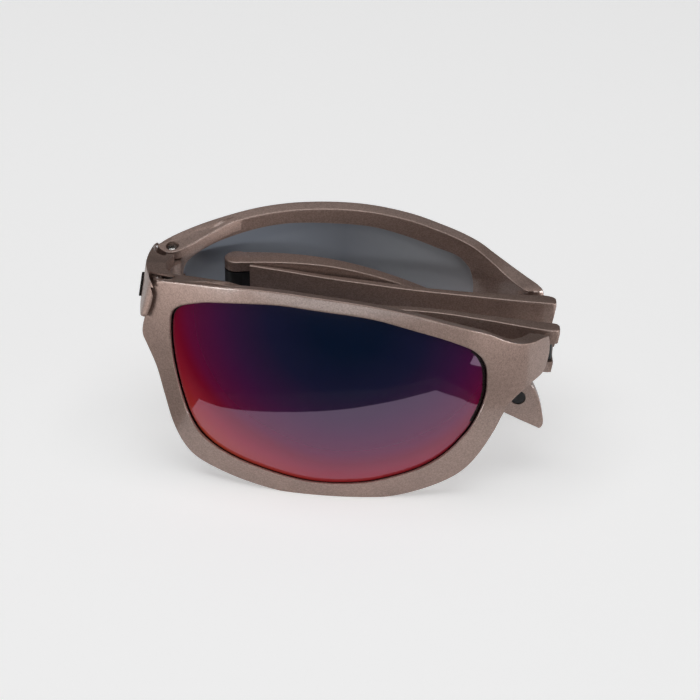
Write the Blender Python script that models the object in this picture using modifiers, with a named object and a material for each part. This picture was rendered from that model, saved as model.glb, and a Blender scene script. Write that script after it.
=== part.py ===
"""A folding pair of sunglasses, folded up, standing on the lower edges of its two rims.

Metres, +Z up. +X runs from the bridge to the temple hinges, +Y from the left rim to the
right rim, and the plane y = 0 lies midway between the rims. The bridge link joins the rims
at -X on two upright screws. Each temple is hinged at +X, and its rear half is folded back
on the front half about an upright pin at -X.
"""

import math

import bmesh
import bpy
import numpy as np
from mathutils import Matrix, Vector

MM = 0.001
# Middle of the whole object along x, and how much of the rims' low edge is flat to rest on
MIDDLE_X = -0.665 * MM
REST_FLAT = 0.24 * MM

# Rim outline as pairs, in millimetres: the edge of the lens opening, then the outer edge
RIM_PAIRS = np.array([
    (-32.70, 36.60, -36.80, 37.20), (-32.30, 38.00, -36.15, 40.30),
    (-31.60, 38.80, -35.50, 42.30), (-30.50, 39.60, -33.40, 42.80),
    (-28.00, 40.70, -29.50, 43.55), (-25.00, 41.60, -25.20, 44.25),
    (-18.25, 42.98, -18.30, 45.10), (-12.50, 43.50, -12.05, 45.42),
    (-6.50, 43.45, -5.50, 45.10), (0.00, 42.80, 0.50, 44.40),
    (5.00, 41.50, 5.80, 43.35), (10.53, 39.60, 11.70, 41.90),
    (15.00, 37.95, 16.20, 40.50), (18.33, 36.45, 20.20, 39.00),
    (21.00, 34.95, 23.90, 37.40), (22.66, 33.30, 26.70, 35.60),
    (23.30, 32.20, 29.60, 33.90), (23.70, 31.20, 32.40, 32.80),
    (23.90, 30.30, 34.90, 32.15), (24.00, 29.20, 35.80, 31.20),
    (24.00, 28.00, 35.70, 29.00), (24.00, 26.90, 35.30, 27.00),
    (23.90, 25.80, 34.50, 25.40), (23.55, 24.20, 32.40, 24.85),
    (23.00, 22.60, 30.20, 23.90), (22.30, 21.00, 28.30, 22.50),
    (21.20, 19.00, 26.90, 20.20), (20.00, 17.50, 25.40, 17.10),
    (17.60, 14.80, 22.30, 12.20), (15.00, 12.70, 18.90, 8.90),
    (11.50, 10.80, 14.00, 6.60), (6.20, 9.00, 8.00, 4.90),
    (2.00, 8.00, 3.00, 4.42), (-4.50, 7.50, -4.50, 4.38),
    (-10.30, 7.88, -12.00, 4.42), (-18.30, 9.67, -19.30, 5.60),
    (-22.50, 11.00, -24.30, 6.90), (-25.80, 12.70, -28.50, 8.50),
    (-28.30, 15.00, -31.00, 11.00), (-30.00, 18.20, -32.90, 15.20),
    (-31.20, 22.30, -34.30, 20.80), (-32.10, 26.50, -35.60, 26.00),
    (-32.60, 29.80, -37.20, 29.60), (-32.80, 32.20, -38.10, 31.60),
    (-32.85, 34.20, -37.75, 34.40),
]) * MM
BRIDGE_CORNER_X, BRIDGE_CORNER_Z = RIM_PAIRS[3, 2:4]
TEMPLE_CORNER_X = RIM_PAIRS[19, 2]
REST_Z = RIM_PAIRS[:, 3].min() + REST_FLAT

# Temple front half, in millimetres: x, upper edge, lower edge, outer face from the temple
# hinge axis, thickness
FRONT_HALF = np.array([
    (-18.9, 38.70, 32.00, -0.40, 1.60), (-12.0, 37.65, 31.00, -0.50, 1.60),
    (-5.0, 36.55, 29.80, -0.65, 1.60), (3.0, 35.35, 28.50, -0.80, 1.60),
    (11.0, 34.20, 27.20, -0.95, 1.60), (17.0, 33.55, 26.10, -1.10, 1.65),
    (22.0, 33.05, 25.00, -1.25, 1.80), (26.0, 32.70, 24.20, -1.45, 2.15),
    (30.0, 32.35, 23.60, -1.65, 2.65), (33.0, 32.10, 23.25, -1.70, 2.85),
    (36.6, 31.80, 23.10, -1.70, 2.85), (37.2, 31.72, 23.20, -1.55, 2.45), (37.6, 31.60, 23.40, -1.10, 1.60),
]) * MM

# Temple rear half, in millimetres: upper x and z, lower x and z, near and far face from the
# middle hinge axis
REAR_HALF = np.array([
    (-21.3, 39.20, -21.3, 32.00, -1.30, 2.00), (-16.0, 38.95, -16.0, 31.65, -1.27, 2.15),
    (-12.0, 38.60, -12.0, 31.20, -1.23, 2.15), (-8.0, 38.10, -8.0, 30.65, -1.20, 2.05),
    (-4.0, 37.35, -4.0, 29.90, -1.20, 1.90), (0.0, 36.45, 0.0, 29.00, -1.23, 1.75),
    (4.0, 35.30, 4.0, 27.85, -1.25, 1.60), (8.0, 34.05, 8.0, 26.50, -1.25, 1.40),
    (12.0, 32.55, 12.0, 24.95, -1.25, 1.30), (16.0, 30.90, 16.0, 23.20, -1.23, 1.20),
    (20.5, 28.95, 19.5, 21.45, -1.15, 1.15), (25.0, 26.90, 22.5, 19.50, -0.95, 1.25),
    (28.6, 25.20, 25.0, 17.95, -0.75, 1.40), (31.0, 23.70, 27.4, 16.50, -0.63, 1.55),
    (32.6, 22.20, 29.4, 15.45, -0.55, 1.65), (33.7, 19.90, 31.2, 14.50, -0.55, 1.65),
    (34.4, 17.40, 32.8, 13.70, -0.53, 1.65), (34.75, 15.30, 33.9, 13.20, -0.45, 1.57),
]) * MM

# Bridge hinges: the axis stands in from the top corner of the rim, and the lobes hang
# under that corner
BRIDGE_AXIS_X = BRIDGE_CORNER_X + 0.4 * MM
BRIDGE_AXIS_Y = 6.06 * MM
BRIDGE_LOBE_R = 1.9 * MM
BRIDGE_LOBE_DROP = 6.2 * MM
BRIDGE_LOBE_HEIGHT = 3.8 * MM
BRIDGE_LOBE_LOW = BRIDGE_CORNER_Z - BRIDGE_LOBE_DROP
BRIDGE_LOBE_HIGH = BRIDGE_LOBE_LOW + BRIDGE_LOBE_HEIGHT
HINGE_GAP = 0.3 * MM
COVER_HEIGHT = 2.2 * MM
COVER_SUNK = 0.1 * MM
RIM_LOBE_R = 2.2 * MM
RIM_LOBE_HEIGHT = 2.7 * MM
RIM_LOBE_TOP = BRIDGE_LOBE_HIGH + COVER_HEIGHT
RIM_LOBE_LOW = BRIDGE_LOBE_LOW - RIM_LOBE_HEIGHT
RIM_TOP_RISE = 0.16
RIM_TOP_FALL = 0.05
RIM_LOBE_FLAT = 0.75 * MM
RIM_SKIN_Y = 0.9 * MM
BRIDGE_SHAFT_R = 0.6 * MM
SHAFT_CLEARANCE = 0.2 * MM
BRIDGE_HEAD_R = 1.0 * MM
HEAD_CLEARANCE = 0.22 * MM
BRIDGE_HEAD_HEIGHT = 0.75 * MM
BRIDGE_HEAD_SUNK = 0.25 * MM
BRIDGE_SHAFT_LOW = RIM_LOBE_LOW + 0.5 * MM
SOCKET_R = 0.42 * MM
SOCKET_DEPTH = 0.45 * MM

# Curve of the fronts: the outer face lies over the bridge axis by a fixed amount
FACE_OVER_AXIS = 3.8 * MM
FRONT_MID_X = 3.2 * MM
FRONT_MID_Z = 24.0 * MM
CURVE_ACROSS = 64.5 * MM
CURVE_UPRIGHT = 80.0 * MM
SIDE_START_X = 20.0 * MM
SIDE_EASE = 3.0 * MM
SIDE_SLOPE = 0.14
WRAP_START_X = 28.0 * MM
WRAP_RUN = 7.8 * MM
WRAP_DEPTH = 3.1 * MM


def arc_drop(radius, offset):
    """How far a circle falls from its crown at the given offset."""
    return radius - np.sqrt(radius ** 2 - offset ** 2)


FRONT_DEPTH = (
    BRIDGE_AXIS_Y + FACE_OVER_AXIS
    + arc_drop(CURVE_ACROSS, BRIDGE_AXIS_X - FRONT_MID_X)
    + arc_drop(CURVE_UPRIGHT, BRIDGE_LOBE_LOW + 0.5 * BRIDGE_LOBE_HEIGHT - FRONT_MID_Z)
)


def front_depth(x, z):
    """How far the outer face of a front lies from the middle plane."""
    side = np.clip(x - SIDE_START_X, 0.0, None)
    wrap = np.clip((x - WRAP_START_X) / WRAP_RUN, 0.0, 1.1)
    depth = FRONT_DEPTH - arc_drop(CURVE_ACROSS, x - FRONT_MID_X) - arc_drop(CURVE_UPRIGHT, z - FRONT_MID_Z)
    return depth - SIDE_SLOPE * side ** 2 / (side + SIDE_EASE) - WRAP_DEPTH * wrap ** 2


# Rims
RIM_THICKNESS = 2.8 * MM
ENDPIECE_EXTRA = 0.9 * MM
ENDPIECE_FROM_X = 28.0 * MM
ENDPIECE_RUN = 6.0 * MM
TOP_SLOPE = 0.58 * MM
RIM_EDGE = 0.4 * MM
RIM_INNER_EDGE = 0.25 * MM
RIM_STATIONS = 84

# Lenses
LENS_THICKNESS = 1.2 * MM
LENS_GAP = 0.3 * MM
GROOVE_WALL = 0.5 * MM
GROOVE_DEPTH = 1.0 * MM
LENS_BITE = 0.65 * MM
LENS_STATIONS = 56
LENS_MID_X = -4.5 * MM
LENS_MID_Z = 26.0 * MM

# Bridge link, placed from the bridge axis and the rim lobes
LINK_HALF_LENGTH = BRIDGE_AXIS_Y + 2.54 * MM
LINK_WALL_X = BRIDGE_AXIS_X - 4.35 * MM
LINK_BACK_X = BRIDGE_AXIS_X + 1.7 * MM
LINK_LEAN = 0.16
LINK_BOW_TOP = 0.022
LINK_BOW_LOW = 0.006
LINK_BOW_DROP = 7.0 * MM
LINK_CORNER = 1.5 * MM
LINK_TOP = RIM_LOBE_TOP + 0.55 * MM
LINK_TOP_FALL = 1.75 * MM
LINK_LOW = RIM_LOBE_LOW
LINK_ARCH = 1.0 * MM
LEAF_THICKNESS = 0.36 * MM
POCKET_RADII = np.array([
    (-3.9, 7.60), (-0.4, 5.90), (1.1, 5.18), (2.6, 4.58), (4.1, 4.08), (6.4, 3.66), (8.7, 3.36), (12.1, 3.30),
]) * MM
ARM_LEFT = 1.2 * MM
ARM_RIGHT = 1.6 * MM
ARM_REACH = 5.2 * MM
SCOOP_X = BRIDGE_AXIS_X + 3.6 * MM
SCOOP_R = 3.8 * MM
TOP_SCOOP_X = BRIDGE_AXIS_X + 5.6 * MM
TOP_SCOOP_Y = -0.9 * MM
TOP_SCOOP_R = 6.8 * MM

# Trim plate on the outer face of the link, leaning with that face
TRIM_HALF_WIDTH = 1.4 * MM
TRIM_LOW = LINK_LOW + 2.2 * MM
TRIM_HEIGHT = 3.6 * MM
TRIM_HIGH = TRIM_LOW + TRIM_HEIGHT
TRIM_PROUD = 0.46 * MM
TRIM_LOW_X = LINK_WALL_X - LINK_LEAN * (LINK_TOP - TRIM_LOW) - TRIM_PROUD
TRIM_HIGH_X = LINK_WALL_X - LINK_LEAN * (LINK_TOP - TRIM_HIGH) - TRIM_PROUD
TRIM_THICKNESS = 0.85 * MM
TRIM_GAP = 0.3 * MM

# Temple hinges: the barrel stands in the fork of the front half, and its tongue goes into
# the end face of the rim
TEMPLE_AXIS_X = TEMPLE_CORNER_X - 0.6 * MM
TEMPLE_BARREL_R = 1.1 * MM
TEMPLE_SKIN = 0.4 * MM
TEMPLE_FOOT = 2.5 * MM
TEMPLE_BARREL_HEIGHT = 3.1 * MM
TEMPLE_BARREL_LOW = FRONT_HALF[-3, 2] + TEMPLE_FOOT
TEMPLE_BARREL_HIGH = TEMPLE_BARREL_LOW + TEMPLE_BARREL_HEIGHT
ENDPIECE_WALL = 1.47 * MM
ENDPIECE_FACE_Y = front_depth(TEMPLE_AXIS_X, TEMPLE_BARREL_LOW) - ENDPIECE_WALL
TEMPLE_AXIS_Y = ENDPIECE_FACE_Y - 2.55 * MM
TONGUE_THICKNESS = 0.8 * MM
TONGUE_LEFT_X = TEMPLE_AXIS_X - 1.8 * MM
TONGUE_RIGHT_X = TONGUE_LEFT_X + TONGUE_THICKNESS
TONGUE_BITE = 1.4 * MM
TONGUE_END_Y = ENDPIECE_FACE_Y + TONGUE_BITE
TONGUE_LOW = TEMPLE_BARREL_LOW + 0.6 * MM
TONGUE_HIGH = TEMPLE_BARREL_HIGH - 0.3 * MM
TEMPLE_SHAFT_R = 0.42 * MM
TEMPLE_HEAD_R = 0.68 * MM
TEMPLE_HEAD_CLEARANCE = 0.18 * MM
TEMPLE_HEAD_HEIGHT = 0.7 * MM
TEMPLE_SOCKET_R = 0.3 * MM
TEMPLE_SHAFT_HIGH = TEMPLE_BARREL_HIGH + 2.2 * MM

# Temple front halves
BAR_EDGE = 0.32 * MM

# Middle hinges: the round end of the rear half turns about a pin in the black knuckle
MID_AXIS_X = REAR_HALF[0, 0]
MID_AXIS_Y = TEMPLE_AXIS_Y + 2.8 * MM
MID_LOBE_R = 2.35 * MM
MID_LOW = REAR_HALF[0, 3]
MID_TOP = REAR_HALF[0, 1]
MID_FOOT = 2.0 * MM
MID_BARREL_HEIGHT = 3.0 * MM
MID_BARREL_LOW = MID_LOW + MID_FOOT
MID_BARREL_HIGH = MID_BARREL_LOW + MID_BARREL_HEIGHT
MID_ROOM = 0.35 * MM
MID_PLATE_Y = MID_AXIS_Y - 2.2 * MM
MID_PLATE_THICKNESS = 0.55 * MM
MID_PLATE_LEFT_X = MID_AXIS_X - 0.7 * MM
MID_PLATE_RIGHT_X = MID_AXIS_X + 9.4 * MM
MID_PIN_R = 0.6 * MM
MID_PIN_HEAD_R = 0.95 * MM
MID_PIN_HEAD_HEIGHT = 0.6 * MM
MID_PIN_HIGH = MID_TOP - 0.8 * MM

# Temple tips
INSERT_X = 0.5 * (REAR_HALF[13, 0] + REAR_HALF[13, 2]) + 0.9 * MM
INSERT_Z = 0.5 * (REAR_HALF[13, 1] + REAR_HALF[13, 3]) - 0.5 * MM
INSERT_R = 1.3 * MM
INSERT_GAP = 0.12 * MM
INSERT_PROUD = 0.1 * MM
TIP_NEAR_Y = MID_AXIS_Y - 0.55 * MM
TIP_FAR_Y = MID_AXIS_Y + 1.65 * MM

# Nose pads
PAD_X = BRIDGE_AXIS_X - 0.6 * MM
PAD_Z = BRIDGE_LOBE_LOW - 16.1 * MM
PAD_HALF_WIDTH = 1.25 * MM
PAD_HALF_HEIGHT = 5.5 * MM
PAD_RISE = 2.0 * MM
PAD_LEAN = 0.16

# How far a cutting tool runs past what it cuts
PAST = 5.0 * MM

for old in list(bpy.data.objects):
    bpy.data.objects.remove(old, do_unlink=True)

scene = bpy.context.scene
scene.unit_settings.system = "METRIC"
scene.unit_settings.scale_length = 1.0
cutters = bpy.data.collections.new("cutters")
scene.collection.children.link(cutters)
cutters.hide_render = True


def finish(name, colour, metallic, roughness, alpha=1.0, transmission=0.0):
    material = bpy.data.materials.new(name)
    material.use_nodes = True
    shader = material.node_tree.nodes["Principled BSDF"]
    shader.inputs["Base Color"].default_value = (*colour, 1.0)
    shader.inputs["Metallic"].default_value = metallic
    shader.inputs["Roughness"].default_value = roughness
    shader.inputs["Alpha"].default_value = alpha
    shader.inputs["Transmission Weight"].default_value = transmission
    return material


PAINT = finish("satin_taupe_paint", (0.27, 0.21, 0.185), 0.55, 0.38)
MIRROR = finish("mirror_coated_lens", (0.25, 0.02, 0.16), 0.9, 0.06)
SMOKE = finish("smoke_lens", (0.12, 0.12, 0.135), 0.0, 0.1, 1.0, 0.6)
STEEL = finish("bright_steel", (0.7, 0.68, 0.66), 1.0, 0.25)
BLACK = finish("black_nylon", (0.012, 0.012, 0.014), 0.0, 0.42)
RUBBER = finish("black_rubber", (0.015, 0.015, 0.015), 0.0, 0.75)
TRIM = finish("dark_trim", (0.09, 0.08, 0.08), 0.8, 0.3)


def smooth_step(value):
    value = np.clip(value, 0.0, 1.0)
    return value * value * (3.0 - 2.0 * value)


def closed_spline(points, count):
    """The points joined by a closed smooth curve, read at evenly spaced steps of its length."""
    size = len(points)
    fine = []
    for index in range(size):
        before = points[index - 1]
        start = points[index]
        end = points[(index + 1) % size]
        after = points[(index + 2) % size]
        for step in np.linspace(0.0, 1.0, 12, endpoint=False):
            fine.append(0.5 * (
                2.0 * start + (end - before) * step
                + (2.0 * before - 5.0 * start + 4.0 * end - after) * step ** 2
                + (3.0 * start - before - 3.0 * end + after) * step ** 3
            ))
    fine = np.array(fine + [fine[0]])
    outer = fine[:, 2:4]
    inner = fine[:, 0:2]
    steps = np.hypot(*np.diff(outer, axis=0).T) + 0.5 * np.hypot(*np.diff(inner, axis=0).T)
    along = np.concatenate([[0.0], np.cumsum(steps)])
    wanted = np.linspace(0.0, along[-1], count, endpoint=False)
    return np.stack([np.interp(wanted, along, fine[:, k]) for k in range(4)], axis=1)


def open_curve(table, key, wanted):
    """Each column of the table at the wanted places, with a smooth cubic through its rows."""
    slopes = np.gradient(table, key, axis=0)
    rows = []
    for place in wanted:
        index = int(np.clip(np.searchsorted(key, place) - 1, 0, len(key) - 2))
        span = key[index + 1] - key[index]
        t = np.clip((place - key[index]) / span, 0.0, 1.0)
        rows.append(
            (2 * t ** 3 - 3 * t ** 2 + 1) * table[index]
            + (t ** 3 - 2 * t ** 2 + t) * span * slopes[index]
            + (3 * t ** 2 - 2 * t ** 3) * table[index + 1]
            + (t ** 3 - t ** 2) * span * slopes[index + 1]
        )
    return np.array(rows)


def on_front(x, z, below):
    """Points under the outer face by the given depth, measured square to that face."""
    step = 0.02 * MM
    slope_x = (front_depth(x + step, z) - front_depth(x - step, z)) / (2.0 * step)
    slope_z = (front_depth(x, z + step) - front_depth(x, z - step)) / (2.0 * step)
    size = np.sqrt(1.0 + slope_x ** 2 + slope_z ** 2)
    return np.stack([
        x + below * slope_x / size,
        front_depth(x, z) - below / size,
        z + below * slope_z / size,
    ], axis=-1)


def make(name, points, faces, material=None, side=1, sharp=35.0):
    """An object from points in the folded frame; side -1 mirrors it to the left front."""
    placed = np.array(points, float)
    placed[:, 1] *= side
    placed = placed + np.array([-MIDDLE_X, 0.0, -REST_Z])
    mesh = bpy.data.meshes.new(name)
    order = [tuple(face) if side > 0 else tuple(reversed(face)) for face in faces]
    mesh.from_pydata([tuple(point) for point in placed], [], order)
    work = bmesh.new()
    work.from_mesh(mesh)
    bmesh.ops.recalc_face_normals(work, faces=work.faces)
    work.to_mesh(mesh)
    work.free()
    mesh.polygons.foreach_set("use_smooth", [True] * len(mesh.polygons))
    mesh.set_sharp_from_angle(angle=math.radians(sharp))
    made = bpy.data.objects.new(name, mesh)
    if material is None:
        cutters.objects.link(made)
        made.hide_render = True
        made.display_type = "WIRE"
    else:
        mesh.materials.append(material)
        scene.collection.objects.link(made)
    return made


def ring_faces(rings, size, closed):
    faces = []
    for ring in range(rings if closed else rings - 1):
        after = (ring + 1) % rings
        for point in range(size):
            beyond = (point + 1) % size
            faces.append((
                ring * size + point, ring * size + beyond,
                after * size + beyond, after * size + point,
            ))
    if not closed:
        faces.append(tuple(range(size)))
        faces.append(tuple(reversed(range((rings - 1) * size, rings * size))))
    return faces


def loft(name, rings, material=None, side=1, closed=False):
    rings = np.array(rings, float)
    faces = ring_faces(rings.shape[0], rings.shape[1], closed)
    return make(name, rings.reshape(-1, 3), faces, material, side)


def prism(name, outline, low, high, material=None, side=1):
    """An upright prism over a plan outline."""
    outline = np.array(outline, float)
    ring_low = np.column_stack([outline, np.full(len(outline), low)])
    ring_high = np.column_stack([outline, np.full(len(outline), high)])
    return loft(name, [ring_low, ring_high], material, side)


def box(name, low, high, material=None, side=1):
    outline = [(low[0], low[1]), (high[0], low[1]), (high[0], high[1]), (low[0], high[1])]
    return prism(name, outline, low[2], high[2], material, side)


def disc(name, middle, radius, low, high, material=None, side=1, radius_high=None, sides=40):
    """An upright cylinder, or a cone where the upper radius differs."""
    angles = np.arange(sides) * 2.0 * math.pi / sides
    circle = np.stack([np.cos(angles), np.sin(angles)], axis=1)
    upper = radius if radius_high is None else radius_high
    middle = np.array(middle)
    ring_low = np.column_stack([middle + radius * circle, np.full(sides, low)])
    ring_high = np.column_stack([middle + upper * circle, np.full(sides, high)])
    return loft(name, [ring_low, ring_high], material, side)


def turned(name, middle, profile, material, side=1, sides=32):
    """A turned piece on an upright axis from (radius, height) pairs; its ends are flat."""
    angles = np.arange(sides) * 2.0 * math.pi / sides
    circle = np.stack([np.cos(angles), np.sin(angles)], axis=1)
    rings = []
    for radius, height in profile:
        rings.append(np.column_stack([np.array(middle) + radius * circle, np.full(sides, height)]))
    return loft(name, rings, material, side)


def combine(target, other, operation):
    step = target.modifiers.new(operation.lower() + "_" + other.name, "BOOLEAN")
    step.operation = operation
    step.solver = "EXACT"
    step.object = other


def cut(target, *others):
    for other in others:
        combine(target, other, "DIFFERENCE")


def join(target, *others):
    for other in others:
        combine(target, other, "UNION")


def rim_rings():
    """Sections of the rim, each running round from the front face to the lens groove."""
    curve = closed_spline(RIM_PAIRS, RIM_STATIONS)
    rings = []
    for inner_x, inner_z, outer_x, outer_z in curve:
        share = np.linspace(-0.05, 1.0, 211)
        line_x = inner_x + (outer_x - inner_x) * share
        line_z = inner_z + (outer_z - inner_z) * share
        line = on_front(line_x, line_z, 0.0)
        length = np.concatenate([[0.0], np.cumsum(np.linalg.norm(np.diff(line, axis=0), axis=1))])
        length = length - np.interp(0.0, share, length)
        full = length[-1]
        thick = RIM_THICKNESS + ENDPIECE_EXTRA * smooth_step((outer_x - ENDPIECE_FROM_X) / ENDPIECE_RUN)
        upward = max(0.0, (outer_z - inner_z) / math.hypot(outer_x - inner_x, outer_z - inner_z))
        drop = TOP_SLOPE * upward ** 2 * (1.0 - smooth_step((outer_x - ENDPIECE_FROM_X) / ENDPIECE_RUN))
        drop = drop * (0.25 + 0.75 * smooth_step((outer_x + 34.0 * MM) / (9.0 * MM)))
        body = full - RIM_EDGE - RIM_INNER_EDGE
        places = [(RIM_INNER_EDGE + body * share, 0.0) for share in (0.0, 0.35, 0.6, 0.78, 0.91, 1.0)]
        places += [
            (full - 0.12 * MM, 0.12 * MM), (full, RIM_EDGE),
            (full - 0.5 * drop, 0.5 * thick),
            (full - drop, thick - RIM_EDGE), (full - drop - 0.1 * MM, thick - 0.1 * MM),
        ]
        back = full - drop - RIM_EDGE - RIM_INNER_EDGE
        places += [(RIM_INNER_EDGE + back * share, thick) for share in (1.0, 0.85, 0.6, 0.3, 0.0)]
        groove = GROOVE_WALL + LENS_THICKNESS + 2.0 * LENS_GAP
        places += [
            (0.0, thick - RIM_INNER_EDGE), (0.0, groove), (GROOVE_DEPTH, groove),
            (GROOVE_DEPTH, GROOVE_WALL), (0.0, GROOVE_WALL), (0.0, RIM_INNER_EDGE),
        ]
        outward = np.array([place[0] for place in places])
        below = np.array([place[1] for place in places])
        x = np.interp(outward, length, line_x)
        z = np.interp(outward, length, line_z)
        rings.append(on_front(x, z, below))
    return rings


def lens_shape(side, name, material):
    """A curved lens whose edge stands in the groove."""
    curve = closed_spline(RIM_PAIRS, LENS_STATIONS)
    inner = curve[:, 0:2]
    outward = curve[:, 2:4] - inner
    outward = outward / np.hypot(*outward.T)[:, None]
    edge = inner + LENS_BITE * outward
    middle = np.array([LENS_MID_X, LENS_MID_Z])
    front = GROOVE_WALL + LENS_GAP
    points = [on_front(middle[0], middle[1], front), on_front(middle[0], middle[1], front + LENS_THICKNESS)]
    shares = (0.25, 0.45, 0.62, 0.77, 0.9, 1.0)
    count = LENS_STATIONS
    for below in (front, front + LENS_THICKNESS):
        for share in shares:
            spot = middle + (edge - middle) * share
            points += list(on_front(spot[:, 0], spot[:, 1], below))
    faces = []
    for layer in range(2):
        first = 2 + layer * len(shares) * count
        for point in range(count):
            beyond = (point + 1) % count
            fan = (layer, first + point, first + beyond)
            faces.append(fan if layer == 0 else fan[::-1])
            for ring in range(len(shares) - 1):
                a = first + ring * count
                quad = (a + point, a + count + point, a + count + beyond, a + beyond)
                faces.append(quad if layer == 0 else quad[::-1])
    front_edge = 2 + (len(shares) - 1) * count
    back_edge = front_edge + len(shares) * count
    for point in range(count):
        beyond = (point + 1) % count
        faces.append((front_edge + point, back_edge + point, back_edge + beyond, front_edge + beyond))
    return make(name, points, faces, material, side, sharp=50.0)


def bar_ring(top, low, near, far, edge):
    """A rounded upright section between two points of a bar's side view."""
    top = np.array(top)
    low = np.array(low)
    down = (low - top) / np.hypot(*(low - top))
    bite = 0.3 * edge
    corners = [
        (near, edge), (near + bite, bite), (near + edge, 0.0),
        (far - edge, 0.0), (far - bite, bite), (far, edge),
    ]
    ring = [(*(top + down * depth), y) for y, depth in corners]
    ring += [(*(low - down * depth), y) for y, depth in reversed(corners)]
    return [(x, y, z) for x, z, y in ring]


def screw_profile(shaft, head, low, top, head_height, socket, socket_depth):
    """A screw with its head up: radius and height pairs, ending on the floor of the socket."""
    return [
        (shaft - 0.1 * MM, low), (shaft, low + 0.15 * MM), (shaft, top - head_height),
        (head, top - head_height), (head, top - 0.18 * MM), (head - 0.18 * MM, top),
        (socket, top), (socket - 0.08 * MM, top - socket_depth),
    ]


def front(side, word):
    """One rim with its lens, nose pad and hinge pieces."""
    axis = (BRIDGE_AXIS_X, BRIDGE_AXIS_Y)
    rim = loft(word + "_rim", rim_rings(), PAINT, side, closed=True)

    flat = math.asin(RIM_LOBE_FLAT / RIM_LOBE_R)
    angles = np.linspace(-math.pi + 0.35, math.pi + flat, 34)
    lower = [
        (axis[0] + RIM_LOBE_R * math.cos(a), axis[1] + RIM_LOBE_R * math.sin(a))
        for a in angles if not (0.0 < (a % (2 * math.pi)) < math.pi and RIM_LOBE_R * math.sin(a) > RIM_LOBE_FLAT
                                and RIM_LOBE_R * math.cos(a) > -0.6 * MM)
    ]
    join(rim, prism("lower_lobe_" + word, lower, RIM_LOBE_LOW, BRIDGE_LOBE_LOW - 0.5 * HINGE_GAP, side=side))
    cover = np.array([
        (3.6, 3.24), (2.2, 2.84), (1.0, 2.49), (-0.4, 2.04), (-1.6, 1.44), (-2.4, 0.94), (-2.75, 0.64),
        (-2.75, 0.24), (-2.3, -0.51), (-1.75, -1.16), (-1.1, -1.76), (-0.3, -2.09), (0.5, -2.08),
        (1.3, -1.61), (2.0, -0.76), (2.7, 0.44), (3.7, 1.84),
    ]) * MM
    rise = RIM_LOBE_TOP + RIM_TOP_RISE * cover[:, 0] + RIM_TOP_FALL * cover[:, 1]
    cover = cover + np.array(axis)
    cover_low = np.column_stack([cover, np.full(len(cover), BRIDGE_LOBE_HIGH + COVER_SUNK)])
    cover_high = np.column_stack([cover, rise])
    join(rim, loft("upper_lobe_" + word, [cover_low, cover_high], side=side))

    low = BRIDGE_LOBE_LOW - HINGE_GAP
    high = BRIDGE_LOBE_HIGH + HINGE_GAP
    cut(
        rim,
        disc("lobe_room_" + word, axis, BRIDGE_LOBE_R + HINGE_GAP, low, high, side=side),
        box("arm_room_" + word, (axis[0] - 6.0 * MM, axis[1] - 5.0 * MM, low - 0.03 * MM),
            (axis[0], axis[1] + RIM_SKIN_Y, high + 0.03 * MM), side=side),
        box("arm_side_" + word, (axis[0] - 0.2 * MM, axis[1] - 5.0 * MM, low - 0.05 * MM),
            (axis[0] + 3.2 * MM, axis[1] + 0.1 * MM, high + 0.05 * MM), side=side),
        disc("shaft_hole_" + word, axis, BRIDGE_SHAFT_R + SHAFT_CLEARANCE,
             BRIDGE_SHAFT_LOW - HINGE_GAP, RIM_LOBE_TOP + PAST, side=side, sides=24),
        disc("head_hole_" + word, axis, BRIDGE_HEAD_R + HEAD_CLEARANCE,
             RIM_LOBE_TOP - BRIDGE_HEAD_SUNK - BRIDGE_HEAD_HEIGHT - SHAFT_CLEARANCE, RIM_LOBE_TOP + PAST,
             side=side),
        box("end_trim_" + word, (TEMPLE_AXIS_X - 4.7 * MM, ENDPIECE_FACE_Y - 6.0 * MM, TEMPLE_BARREL_LOW - PAST),
            (TEMPLE_AXIS_X + PAST, ENDPIECE_FACE_Y, TEMPLE_BARREL_HIGH + 1.5 * PAST), side=side),
        box("rest_flat_" + word, (BRIDGE_AXIS_X, ENDPIECE_FACE_Y, REST_Z - PAST),
            (TEMPLE_AXIS_X, FRONT_DEPTH + PAST, REST_Z), side=side),
        box("tongue_room_" + word,
            (TONGUE_LEFT_X - HINGE_GAP, ENDPIECE_FACE_Y - 2.0 * MM, TONGUE_LOW - HINGE_GAP),
            (TONGUE_RIGHT_X + HINGE_GAP, TONGUE_END_Y + HINGE_GAP, TONGUE_HIGH + HINGE_GAP), side=side),
    )

    lens_shape(side, word + "_lens", MIRROR)

    top = RIM_LOBE_TOP - BRIDGE_HEAD_SUNK
    turned(word + "_bridge_screw", axis, screw_profile(
        BRIDGE_SHAFT_R, BRIDGE_HEAD_R, BRIDGE_SHAFT_LOW, top, BRIDGE_HEAD_HEIGHT, SOCKET_R, SOCKET_DEPTH,
    ), STEEL, side)

    rings = []
    turns = np.linspace(0.0, 2.0 * math.pi, 28, endpoint=False)
    base = RIM_THICKNESS + HINGE_GAP
    for share, rise in ((0.93, 0.0), (1.0, 0.25), (0.96, 0.5), (0.82, 0.78), (0.55, 0.95), (0.25, 1.0)):
        across = PAD_HALF_WIDTH * share * np.cos(turns)
        along = PAD_HALF_HEIGHT * (1.0 - (1.0 - share) * 0.6) * np.sin(turns)
        rings.append(on_front(PAD_X + across - PAD_LEAN * along, PAD_Z + along, base + PAD_RISE * rise))
    loft(word + "_nose_pad", rings, RUBBER, side)


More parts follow.
